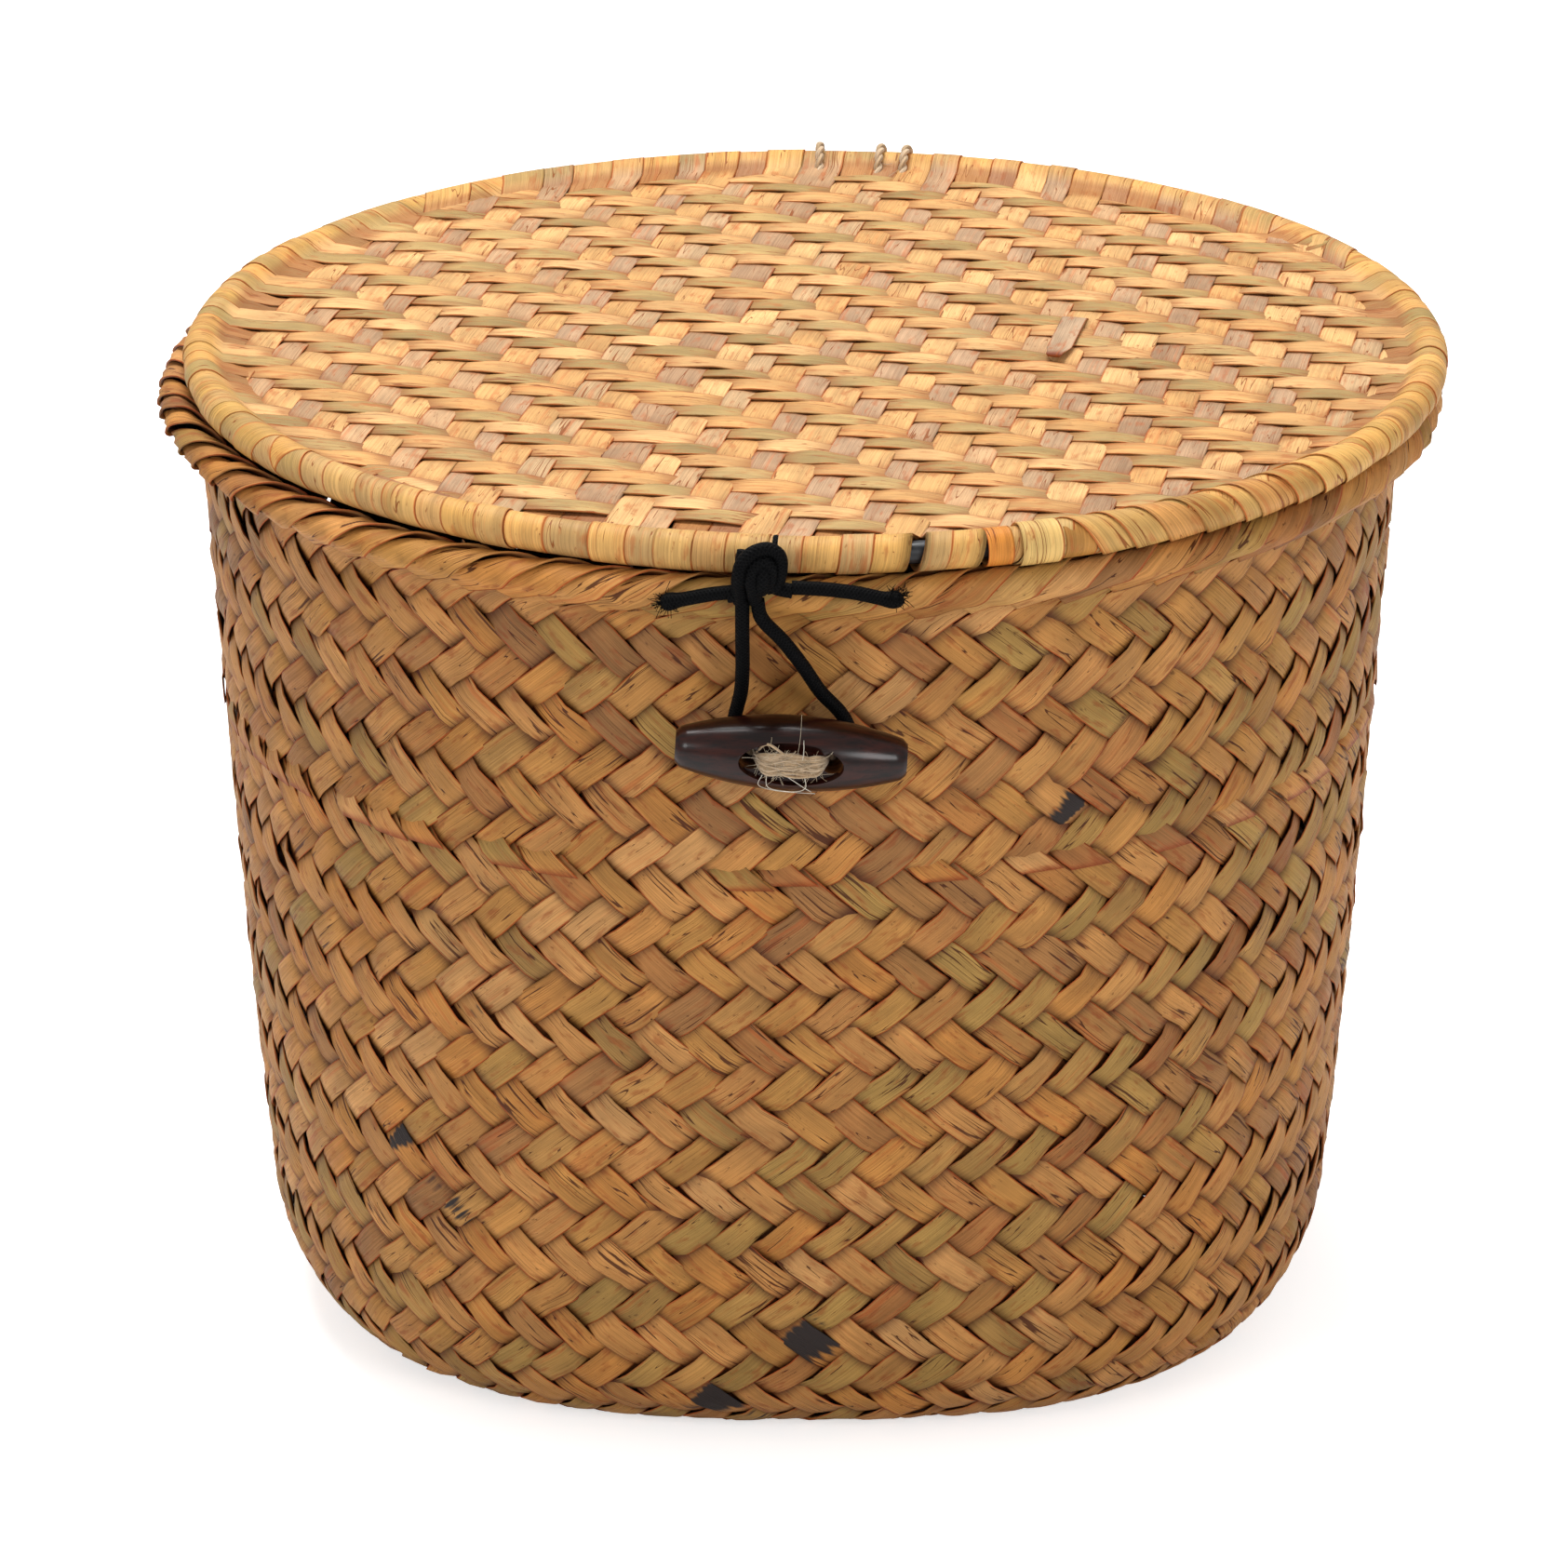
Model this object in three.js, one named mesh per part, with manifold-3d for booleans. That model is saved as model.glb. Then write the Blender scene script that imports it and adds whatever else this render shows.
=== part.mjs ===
// A woven straw box with a tied lid. The basket is plaited from leaf strips on a squarish base and
// opens to a round rim, the round lid is plaited over a black wire hoop, and a wooden toggle sewn to
// the front is caught by a loop of black elastic that is knotted round the lid's hoop.
// Millimetres, +Z up, the front with the toggle faces -Y, and the origin is the middle of the base.
import * as THREE from 'three';
import { mergeVertices } from 'three/addons/utils/BufferGeometryUtils.js';
import Module from 'manifold-3d';

const wasm = await Module();
wasm.setup();

// Driving sizes of the basket
const rimHeight = 182;
const rimRadius = 122.3;
const wallTopRadius = 115;
const heelRadius = 105.2;
const heelHeight = 29;
const baseHalfSide = 84.5;
const weaveThickness = 3;
const squareUpTo = 146;
const baseSquareness = 2.7;
const wallCurve = 0.8;

// Driving sizes of the folded border round the rim
const borderHeight = 8.5;
const borderSkin = 2.4;
const borderEdge = 1;
const rimWire = 3;

// Driving sizes of the lid
const lidRadius = 120;
const lidShift = 2.9;
const lidWeave = 3;
const lidWire = 4;
const wrapThickness = 0.9;
const wrapReach = 2;

// Driving sizes of the twine ties that hinge the lid: how far each is to the right of the back
const tieOffsets = { left: 4.5, middle: 17.2, right: 22.5 };
const tieDiameter = 1.9;
const tieDrop = 10.7;
const tieBend = 2.2;
const tieKnotHeight = 5;
const tieKnotWidth = 4.4;
const tieKnotDepth = 3.8;

// Driving sizes of the toggle and the twine that sews it on
const toggleLength = 40.3;
const toggleRadius = 6.9;
const toggleEndRadius = 3.9;
const toggleEndRound = 0.7;
const toggleDrop = 30.5;
const toggleOffset = -1.8;
const toggleTilt = THREE.MathUtils.degToRad(3.7);
const recessLength = 19.2;
const recessWidth = 8.5;
const recessDepth = 2.9;
const holeSpacing = 14.2;
const twineDiameter = 3.2;
const twineKnotRadius = 3.2;

// Driving sizes of the black elastic: its knot on the lid's front and its turn round the hoop
const elasticDiameter = 2.5;
const elasticSpace = 0.8;
const knotOffset = -6.8;
const knotWidth = 9.4;
const knotHeight = 9.8;
const knotDepth = 8.6;
const knotLift = 0.3;
const knotRound = 1.2;
const turnThickness = 1;
const turnWidth = 3.4;

// Gap between pieces that touch, and how far a cutting tool runs past what it cuts
const clearance = 0.3;
const overrun = 4;

// How finely round shapes are divided
const ringSteps = 48;
const heelSteps = 5;
const wallSteps = 5;
const flareSteps = 3;
const borderArcSteps = 6;
const wireSides = 8;
const cordSides = 8;
const lumpSides = 12;
const toggleSides = 20;
const bulgeSteps = 12;
const turnSteps = 8;
const loopSteps = 40;
const tailSteps = 6;
const tieSteps = 40;
const twineSteps = 48;

// Sizes that follow from the ones above
const elasticRadius = elasticDiameter / 2;
const twineRadius = twineDiameter / 2;
const tieRadius = tieDiameter / 2;
const rimCavity = Math.max(rimWire, weaveThickness) / 2 + clearance;
const rimRoll = rimCavity + borderSkin;
const rimHoopRadius = rimRadius - rimRoll;
const rimHoopHeight = rimHeight - rimRoll;
const wallTop = rimHoopHeight - rimWire / 2 - clearance;
const borderBottom = rimHeight - borderHeight;
const toggleHeight = rimHeight - toggleDrop;
const lidCavity = Math.max(lidWire, lidWeave) / 2 + clearance;
const lidSlot = lidWeave / 2 + clearance;
const wrapRadius = lidCavity + wrapThickness;
const lidHoopRadius = lidRadius - wrapRadius;
const lidHoopHeight = rimHeight + clearance + wrapRadius;
const panelRadius = lidHoopRadius - lidWire / 2 - clearance;
const wrapTipRadius = panelRadius - wrapReach;

// Solids for cutting

function solidOf(geometry) {
  const bare = geometry.clone();
  bare.deleteAttribute('normal');
  bare.deleteAttribute('uv');
  const welded = mergeVertices(bare);
  const vertProperties = new Float32Array(welded.attributes.position.array);
  const triVerts = new Uint32Array(welded.index.array);
  return new wasm.Manifold(new wasm.Mesh({ numProp: 3, vertProperties, triVerts }));
}

function geometryOf(solid) {
  const { vertProperties, triVerts } = solid.getMesh();
  const geometry = new THREE.BufferGeometry();
  geometry.setAttribute('position', new THREE.BufferAttribute(new Float32Array(vertProperties), 3));
  geometry.setIndex(new THREE.BufferAttribute(new Uint32Array(triVerts), 1));
  geometry.computeVertexNormals();
  return geometry;
}

function cut(geometry, tools) {
  let solid = solidOf(geometry);
  for (const tool of tools) {
    solid = solid.subtract(solidOf(tool));
  }
  return geometryOf(solid);
}

// Shapes that several pieces are made from

// An outline of [radius, height] points turned about the vertical axis
function revolve(outline) {
  const points = outline.map(([radius, height]) => new THREE.Vector2(radius, height));
  return new THREE.LatheGeometry(points, ringSteps).rotateX(Math.PI / 2);
}

function circleOutline(radius, sides) {
  const points = [];
  for (let i = 0; i < sides; i += 1) {
    const angle = (2 * Math.PI * i) / sides;
    points.push(new THREE.Vector2(radius * Math.cos(angle), radius * Math.sin(angle)));
  }
  return new THREE.Shape(points);
}

function tubeAlong(path, radius, steps) {
  const settings = { steps, extrudePath: path, bevelEnabled: false };
  return new THREE.ExtrudeGeometry(circleOutline(radius, cordSides), settings);
}

// Straight runs between the points, with every corner rounded to the given bend
function roundedPath(points, bend) {
  const path = new THREE.CurvePath();
  let from = points[0];
  for (let i = 1; i < points.length - 1; i += 1) {
    const corner = points[i];
    const back = points[i - 1].clone().sub(corner).normalize();
    const ahead = points[i + 1].clone().sub(corner).normalize();
    const start = corner.clone().addScaledVector(back, bend);
    const end = corner.clone().addScaledVector(ahead, bend);
    path.add(new THREE.LineCurve3(from, start));
    path.add(new THREE.QuadraticBezierCurve3(start, corner, end));
    from = end;
  }
  path.add(new THREE.LineCurve3(from, points[points.length - 1]));
  return path;
}

// A straight round tool between two points, for drilling
function drill(from, to, radius) {
  return tubeAlong(new THREE.LineCurve3(from, to), radius, 1);
}

// A place at an angle from the front, on a circle about the axis
function around(angle, radius, height) {
  return new THREE.Vector3(radius * Math.sin(angle), -radius * Math.cos(angle), height);
}

// A soft lump turned about the vertical, then squeezed to its width and depth
function lump(width, depth, height, round) {
  const half = height / 2;
  const outline = [
    [0, -half],
    [width / 2 - round, -half],
    [width / 2, round - half],
    [width / 2, half - round],
    [width / 2 - round, half],
    [0, half],
  ];
  const points = outline.map(([radius, rise]) => new THREE.Vector2(radius, rise));
  const shape = new THREE.LatheGeometry(points, lumpSides).rotateX(Math.PI / 2);
  return shape.scale(1, depth / width, 1);
}

const straw = new THREE.MeshStandardMaterial({ color: '#b08850', roughness: 0.62, metalness: 0 });
const paleStraw = new THREE.MeshStandardMaterial({ color: '#d8b878', roughness: 0.6, metalness: 0 });
const blackWire = new THREE.MeshStandardMaterial({ color: '#17171a', roughness: 0.45, metalness: 0.2 });
const darkWood = new THREE.MeshStandardMaterial({ color: '#56281c', roughness: 0.32, metalness: 0 });
const jute = new THREE.MeshStandardMaterial({ color: '#cdb287', roughness: 0.9, metalness: 0 });
const blackElastic = new THREE.MeshStandardMaterial({ color: '#151517', roughness: 0.8, metalness: 0 });

function piece(name, geometry, material) {
  const mesh = new THREE.Mesh(geometry, material);
  mesh.name = name;
  return mesh;
}

// The basket's outer radius above the heel: a wall that bulges gently, then flares out to the hoop
function wallRadius(height) {
  if (height > borderBottom) {
    const rise = (height - borderBottom) / (wallTop - borderBottom);
    return wallTopRadius + (rimHoopRadius + weaveThickness / 2 - wallTopRadius) * rise;
  }
  const rise = Math.max(0, (height - heelHeight) / (borderBottom - heelHeight));
  return heelRadius + (wallTopRadius - heelRadius) * rise ** wallCurve;
}

// The basket's side from the edge of its flat base, round the heel and up to the top of the wall
function sideOutline(inset) {
  const outline = [];
  for (let i = 0; i <= heelSteps; i += 1) {
    const turn = (i / heelSteps) * (Math.PI / 2);
    const reach = (heelRadius - inset - baseHalfSide) * Math.sin(turn);
    outline.push([baseHalfSide + reach, inset + (heelHeight - inset) * (1 - Math.cos(turn))]);
  }
  for (let i = 1; i <= wallSteps; i += 1) {
    const height = heelHeight + ((borderBottom - heelHeight) * i) / wallSteps;
    outline.push([wallRadius(height) - inset, height]);
  }
  for (let i = 1; i <= flareSteps; i += 1) {
    const height = borderBottom + ((wallTop - borderBottom) * i) / flareSteps;
    outline.push([wallRadius(height) - inset, height]);
  }
  return outline;
}

// One level of the basket: a rounded square low down that turns into a circle further up
function levelRing(halfSide, height) {
  const squareShare = Math.max(0, 1 - height / squareUpTo);
  const power = 2 + (baseSquareness - 2) * squareShare;
  const ring = [];
  for (let i = 0; i < ringSteps; i += 1) {
    const angle = (2 * Math.PI * i) / ringSteps;
    const spread = Math.abs(Math.sin(angle)) ** power + Math.abs(Math.cos(angle)) ** power;
    ring.push(around(angle, halfSide / spread ** (1 / power), height));
  }
  return ring;
}

// A skin over a stack of rings, closed by a fan at the first and at the last one
function loft(rings) {
  const positions = [];
  const faces = [];
  for (const ring of rings) {
    for (const point of ring) {
      positions.push(point.x, point.y, point.z);
    }
  }
  for (let level = 0; level < rings.length - 1; level += 1) {
    for (let i = 0; i < ringSteps; i += 1) {
      const next = (i + 1) % ringSteps;
      const a = level * ringSteps + i;
      const b = level * ringSteps + next;
      faces.push(a, b, b + ringSteps, a, b + ringSteps, a + ringSteps);
    }
  }
  const first = positions.length / 3;
  const last = first + 1;
  const top = (rings.length - 1) * ringSteps;
  positions.push(0, 0, rings[0][0].z, 0, 0, rings[rings.length - 1][0].z);
  for (let i = 0; i < ringSteps; i += 1) {
    const next = (i + 1) % ringSteps;
    faces.push(first, next, i, last, top + i, top + next);
  }
  const geometry = new THREE.BufferGeometry();
  geometry.setAttribute('position', new THREE.Float32BufferAttribute(positions, 3));
  geometry.setIndex(faces);
  geometry.computeVertexNormals();
  return geometry;
}

// The toggle lies level with the wall's face behind it, with room for the elastic in between
const toggleDistance = wallRadius(toggleHeight) + elasticDiameter + elasticSpace + toggleRadius;
const togglePlace = new THREE.Matrix4().makeRotationY(toggleTilt);
togglePlace.setPosition(toggleOffset, -toggleDistance, toggleHeight);

// Two awl holes through the wall for the twine, in line with the holes through the toggle
function twineDrills() {
  return [-1, 1].map((side) => {
    const x = (side * holeSpacing) / 2;
    const from = new THREE.Vector3(x, 0, 0).applyMatrix4(togglePlace);
    const depth = toggleDistance - wallRadius(toggleHeight) + weaveThickness + overrun;
    const to = new THREE.Vector3(x, depth, 0).applyMatrix4(togglePlace);
    return drill(from, to, twineRadius + clearance);
  });
}

// Each hinge tie stands in an upright plane through the axis
const tieAngles = {};
for (const [side, offset] of Object.entries(tieOffsets)) {
  tieAngles[side] = Math.PI - Math.asin(offset / lidHoopRadius);
}
const tieHoleHeight = rimHeight - tieDrop;
const lidTop = lidHoopHeight + wrapRadius;
const tieOuter = Math.max(rimRadius, lidRadius + lidShift) + clearance + tieRadius;
const tieTopHeight = lidTop + clearance + tieRadius;
const rimInner = Math.min(wallRadius(tieHoleHeight) - weaveThickness / 2, rimHoopRadius) - rimRoll;
const tieInner = Math.min(rimInner, wrapTipRadius) - clearance - tieRadius;

// Radial awl holes through the rim under its hoop, for the hinge ties
function rimDrills() {
  return Object.values(tieAngles).map((angle) => drill(
    around(angle, tieInner - overrun, tieHoleHeight),
    around(angle, tieOuter + overrun, tieHoleHeight),
    tieRadius + clearance,
  ));
}

function basketShell() {
  const rings = sideOutline(0).map(([radius, height]) => levelRing(radius, height));
  const inside = sideOutline(weaveThickness).reverse();
  rings.push(...inside.map(([radius, height]) => levelRing(radius, height)));
  return cut(loft(rings), [...twineDrills(), ...rimDrills()]);
}

function rimHoop() {
  return new THREE.TorusGeometry(rimHoopRadius, rimWire / 2, wireSides, ringSteps)
    .translate(0, 0, rimHoopHeight);
}

// The strips' folded ends: a skin outside the wall, over the hoop and down inside it
function rimBorder() {
  const heights = [];
  for (let i = 0; i <= flareSteps; i += 1) {
    heights.push(borderBottom + ((wallTop - borderBottom) * i) / flareSteps);
  }
  const middle = (height) => wallRadius(height) - weaveThickness / 2;
  const thickness = (height) => {
    const rise = (height - borderBottom) / (wallTop - borderBottom);
    return borderEdge + (borderSkin - borderEdge) * rise;
  };
  const arc = (radius, step) => {
    const angle = (Math.PI * step) / borderArcSteps;
    return [rimHoopRadius + radius * Math.cos(angle), rimHoopHeight + radius * Math.sin(angle)];
  };
  const outline = heights.map((h) => [middle(h) + rimCavity + thickness(h), h]);
  for (let i = 0; i <= borderArcSteps; i += 1) {
    outline.push(arc(rimRoll, i));
  }
  const down = [...heights].reverse();
  outline.push(...down.map((h) => [middle(h) - rimCavity - thickness(h), h]));
  outline.push(...heights.map((h) => [middle(h) - rimCavity, h]));
  for (let i = borderArcSteps; i >= 0; i -= 1) {
    outline.push(arc(rimCavity, i));
  }
  outline.push(...down.map((h) => [middle(h) + rimCavity, h]));
  outline.push(outline[0]);
  return cut(revolve(outline), rimDrills());
}

// The lid is made about the centre of its hoop
const knotTurn = Math.asin((knotOffset - lidShift) / lidRadius);

// A block that clears the elastic's turn round the hoop, outwards from a given radius
function turnTool(fromRadius) {
  const length = lidRadius + overrun - fromRadius;
  const block = new THREE.BoxGeometry(turnWidth + 2 * clearance, length, 2 * (wrapRadius + overrun));
  return block.translate(0, -(fromRadius + length / 2), 0).rotateZ(knotTurn);
}

function lidPanel() {
  const half = lidWeave / 2;
  const disc = revolve([[0, -half], [panelRadius, -half], [panelRadius, half], [0, half]]);
  const holes = Object.values(tieAngles).map((angle) => {
    const place = around(angle, tieInner, 0).sub(new THREE.Vector3(lidShift, 0, 0));
    const under = place.clone().setZ(-overrun);
    const over = place.clone().setZ(overrun);
    return drill(under, over, tieRadius + clearance);
  });
  const bandRadius = lidWire / 2 + clearance + turnThickness;
  return cut(disc, [...holes, turnTool(lidHoopRadius - bandRadius - clearance)]);
}

function lidHoop() {
  return new THREE.TorusGeometry(lidHoopRadius, lidWire / 2, wireSides, ringSteps);
}

// Strip ends wrapped round the hoop, with their tips lying on and under the panel's edge
function lidBorder() {
  const opening = Math.asin(Math.min(1, lidSlot / lidCavity));
  const outline = [[wrapTipRadius, -lidSlot - wrapThickness]];
  for (let i = 0; i <= borderArcSteps; i += 1) {
    const angle = -Math.PI / 2 + (Math.PI * i) / borderArcSteps;
    outline.push([lidHoopRadius + wrapRadius * Math.cos(angle), wrapRadius * Math.sin(angle)]);
  }
  outline.push([wrapTipRadius, lidSlot + wrapThickness], [wrapTipRadius, lidSlot]);
  for (let i = 0; i <= borderArcSteps; i += 1) {
    const angle = (Math.PI - opening) * (1 - (2 * i) / borderArcSteps);
    outline.push([lidHoopRadius + lidCavity * Math.cos(angle), lidCavity * Math.sin(angle)]);
  }
  outline.push([wrapTipRadius, -lidSlot], outline[0]);
  return cut(revolve(outline), [turnTool(wrapTipRadius - overrun)]);
}

// The elastic's flattened turn: in over the hoop, round behind it and out below it to the knot
function elasticTurn() {
  const inner = lidWire / 2 + clearance;
  const outer = inner + turnThickness;
  const reach = lidRadius - lidHoopRadius;
  const band = new THREE.Shape();
  band.moveTo(reach, outer);
  band.lineTo(0, outer);
  band.absarc(0, 0, outer, Math.PI / 2, (3 * Math.PI) / 2, false);
  band.lineTo(reach, -outer);
  band.lineTo(reach, -inner);
  band.lineTo(0, -inner);
  band.absarc(0, 0, inner, (3 * Math.PI) / 2, Math.PI / 2, true);
  band.lineTo(reach, inner);
  band.closePath();
  const settings = { depth: turnWidth, bevelEnabled: false, curveSegments: turnSteps };
  return new THREE.ExtrudeGeometry(band, settings)
    .translate(0, 0, -turnWidth / 2)
    .rotateX(Math.PI / 2)
    .translate(lidHoopRadius, 0, 0)
    .rotateZ(knotTurn - Math.PI / 2);
}

function elasticKnot() {
  return lump(knotWidth, knotDepth, knotHeight, knotRound)
    .translate(0, -(lidRadius + clearance + knotDepth / 2), -knotLift)
    .rotateZ(knotTurn);
}

// The elastic's free parts, by hand, from the lid's edge behind the knot: two legs that go down
// behind the toggle and round its twine, and two short tails
const loopRoute = [
  [-3.4, -4, -2.1], [-3.4, -4, -5.6], [-3.4, -2.9, -10], [-3.4, -1.2, -15.5],
  [-3.7, 0.9, -21], [-4.7, 2.9, -26], [-5.4, 3.8, -30.5], [-4.1, 4, -34.9],
  [-0.6, 4, -37.5], [5, 4, -38.2], [10.6, 4, -37.5], [14.1, 4, -34.9],
  [15.4, 3.8, -30.5], [13.8, 2.9, -26], [10.1, 0.9, -21], [7.1, -1.2, -15.5],
  [3.7, -2.9, -10.2], [0, -4, -5.6], [-0.8, -4, -2.1],
];
const tailRoutes = {
  left: [[-5.2, -4.2, -0.6], [-8.7, -3.9, -1.1], [-13.2, -3, -2.3], [-17.4, -1.9, -3.5]],
  right: [[5.1, -4.4, 0.3], [10.8, -4.4, 0], [16.4, -4, -0.9], [22.2, -3.2, -2.4]],
};

function freeCord(route, steps) {
  const path = new THREE.CatmullRomCurve3(route.map((point) => new THREE.Vector3(...point)));
  return tubeAlong(path, elasticRadius, steps);
}

// A tie: up the back, over the lid's border, down inside and out through the rim's hole to its knot
function hingeTie(angle) {
  const knotMiddle = (tieHoleHeight + tieTopHeight) / 2 - tieKnotHeight / 2;
  const knotGap = tieKnotHeight / 2 + clearance;
  const corners = [
    [tieOuter, knotMiddle + knotGap],
    [tieOuter, tieTopHeight],
    [tieInner, tieTopHeight],
    [tieInner, tieHoleHeight],
    [tieOuter, tieHoleHeight],
    [tieOuter, knotMiddle - knotGap],
  ];
  const route = corners.map(([radius, height]) => around(angle, radius, height));
  const knotRadius = tieOuter - tieRadius + tieKnotDepth / 2;
  const knot = lump(tieKnotWidth, tieKnotDepth, tieKnotHeight, knotRound)
    .translate(0, -knotRadius, knotMiddle)
    .rotateZ(angle);
  return { tie: tubeAlong(roundedPath(route, tieBend), tieRadius, tieSteps), knot };
}

// The toggle is made about its own middle, lying along X with its face towards -Y
function toggleBody() {
  const half = toggleLength / 2;
  const bulge = (share) => toggleEndRadius + (toggleRadius - toggleEndRadius) * (1 - share * share);
  const outline = [new THREE.Vector2(0, -half), new THREE.Vector2(toggleEndRadius - toggleEndRound, -half)];
  const straight = half - toggleEndRound;
  for (let i = 0; i <= bulgeSteps; i += 1) {
    const share = (2 * i) / bulgeSteps - 1;
    outline.push(new THREE.Vector2(bulge(share), straight * share));
  }
  outline.push(new THREE.Vector2(toggleEndRadius - toggleEndRound, half), new THREE.Vector2(0, half));
  const barrel = new THREE.LatheGeometry(outline, toggleSides).rotateZ(-Math.PI / 2);
  const oval = new THREE.Shape().absellipse(0, 0, recessLength / 2, recessWidth / 2, 0, 2 * Math.PI);
  const recess = new THREE.ExtrudeGeometry(oval, { depth: overrun + recessDepth, bevelEnabled: false })
    .rotateX(Math.PI / 2)
    .translate(0, recessDepth - toggleRadius, 0);
  const holes = [-1, 1].map((side) => {
    const x = (side * holeSpacing) / 2;
    const front = new THREE.Vector3(x, -toggleRadius - overrun, 0);
    const back = new THREE.Vector3(x, toggleRadius + overrun, 0);
    return drill(front, back, twineRadius + clearance);
  });
  return cut(barrel, [recess, ...holes]);
}

// How far behind the toggle's middle the wall's inner face lies where the twine comes through
const twineSpan = Math.abs(toggleOffset) + holeSpacing / 2 + twineDiameter;
const wallInside = Math.sqrt((wallRadius(toggleHeight) - weaveThickness) ** 2 - twineSpan ** 2);
const twineBack = toggleDistance - wallInside + clearance + twineRadius;
const twineKnotBack = twineBack - twineRadius + twineKnotRadius;

// The twine: from its knot inside the basket, out through the toggle, across the recess and back
function toggleTwine() {
  const x = holeSpacing / 2;
  const front = toggleRadius - recessDepth + clearance + twineRadius;
  const end = twineKnotRadius + clearance;
  const route = [
    [-end, twineBack], [-x, twineBack], [-x, -front], [x, -front], [x, twineBack], [end, twineBack],
  ].map(([across, depth]) => new THREE.Vector3(across, depth, 0));
  return tubeAlong(roundedPath(route, twineRadius + clearance), twineRadius, twineSteps);
}

function twineKnot() {
  return new THREE.SphereGeometry(twineKnotRadius, lumpSides, lumpSides / 2)
    .translate(0, twineKnotBack, 0);
}

const box = new THREE.Group();

const basket = new THREE.Group();
basket.add(piece('basket_shell', basketShell(), straw));
basket.add(piece('rim_hoop', rimHoop(), blackWire));
basket.add(piece('rim_border', rimBorder(), straw));
for (const [side, angle] of Object.entries(tieAngles)) {
  const { tie, knot } = hingeTie(angle);
  basket.add(piece(`hinge_tie_${side}`, tie, jute));
  basket.add(piece(`hinge_knot_${side}`, knot, jute));
}
box.add(basket);

const lid = new THREE.Group();
lid.position.set(lidShift, 0, lidHoopHeight);
lid.add(piece('lid_panel', lidPanel(), paleStraw));
lid.add(piece('lid_hoop', lidHoop(), blackWire));
lid.add(piece('lid_border', lidBorder(), paleStraw));
lid.add(piece('elastic_turn', elasticTurn(), blackElastic));
lid.add(piece('elastic_knot', elasticKnot(), blackElastic));
box.add(lid);

const elastic = new THREE.Group();
elastic.position.set(knotOffset, -lidRadius, rimHeight);
elastic.add(piece('elastic_loop', freeCord(loopRoute, loopSteps), blackElastic));
for (const [side, route] of Object.entries(tailRoutes)) {
  elastic.add(piece(`elastic_tail_${side}`, freeCord(route, tailSteps), blackElastic));
}
box.add(elastic);

const toggle = new THREE.Group();
toggle.applyMatrix4(togglePlace);
toggle.add(piece('toggle', toggleBody(), darkWood));
toggle.add(piece('toggle_twine', toggleTwine(), jute));
toggle.add(piece('twine_knot', twineKnot(), jute));
box.add(toggle);

export default box;
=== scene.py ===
# A straw box with a tied lid. The basket is one plait of leaf strips, the round lid is plaited over a
# black wire hoop, and a loop of black elastic on the lid catches a wooden toggle on the front.
# Metres, +Z up, the front with the toggle faces -Y, and the box stands on the floor at zero.
import math

import bmesh
import bpy
import numpy as np
from mathutils import Matrix, Vector


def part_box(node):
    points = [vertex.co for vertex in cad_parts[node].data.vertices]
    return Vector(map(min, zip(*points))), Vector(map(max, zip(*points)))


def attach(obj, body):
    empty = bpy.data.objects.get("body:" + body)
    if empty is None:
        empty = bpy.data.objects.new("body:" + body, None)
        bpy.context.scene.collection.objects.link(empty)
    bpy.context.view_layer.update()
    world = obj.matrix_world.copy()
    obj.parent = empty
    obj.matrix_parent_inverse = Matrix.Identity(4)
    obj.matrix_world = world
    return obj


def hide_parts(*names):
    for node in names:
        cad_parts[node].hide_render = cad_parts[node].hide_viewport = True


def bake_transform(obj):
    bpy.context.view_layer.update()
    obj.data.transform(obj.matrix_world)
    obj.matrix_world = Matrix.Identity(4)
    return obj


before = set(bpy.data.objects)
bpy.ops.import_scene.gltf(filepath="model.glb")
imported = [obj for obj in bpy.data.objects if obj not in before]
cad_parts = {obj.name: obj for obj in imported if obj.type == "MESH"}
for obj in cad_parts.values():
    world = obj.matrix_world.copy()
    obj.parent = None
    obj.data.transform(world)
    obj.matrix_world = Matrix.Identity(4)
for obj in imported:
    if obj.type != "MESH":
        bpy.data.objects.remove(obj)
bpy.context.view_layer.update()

# The basket's plait
# Eighty strips of dried leaf cross under the base and climb two sides each, over two strips and
# under two, so that each level of the wall leans one way and the level above it the other way.
# Each strip is a folded leaf, arched across, split along its fibres and browned in places.
draw = np.random.default_rng(20)
strips_per_side = 20
rows_up_side = 48
base_half_side = 0.0845
heel_radius = 0.1052
heel_height = 0.029
wall_top_radius = 0.115
wall_curve = 0.8
heel_steps = 40
wall_steps = 90
weave_thickness = 0.003
plait_depth = 0.0016
square_up_to = 0.146
base_squareness = 2.7
middle_squareness = 7.0
straightening = 1.5
strip_rise = 0.00064
strip_thickness = 0.00075
strip_edge_thickness = 0.0006
strip_crown = 0.00015
float_dome_share = 1.08
float_variety = 0.18
strip_width_share = 0.5
strip_width_variety = 0.2
wide_strip_share = 0.45
width_drift = 0.08
wide_strip_stand = 0.0012
tucked_width_share = 0.98
strip_slip = 0.03
strip_tilt = 0.00026
across_shares = np.array([1.0, 0.86, 0.0, -0.86, -1.0])
under_shares = np.array([-0.72, 0.0, 0.72])
ring_shares = np.concatenate([across_shares, under_shares])
downward_dryness = (0.25, 1.2)
upward_dryness = (0.0, 0.6)
spliced_share = 0.6
splice_row = 33.05
splice_tuck = 1.3
splice_jitter = 0.16
splice_width_share = 0.92
splice_stand = 0.00078
splice_climb = 4.2
splice_thickness = 0.0004
splice_steps = 5
splice_shade = 1.12
splice_browning = 6
splice_shade_depth = (0.3, 1.0)
splice_dryness = 0.3
scorch_core = 1.3
scorched_lift = 0.3
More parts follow.
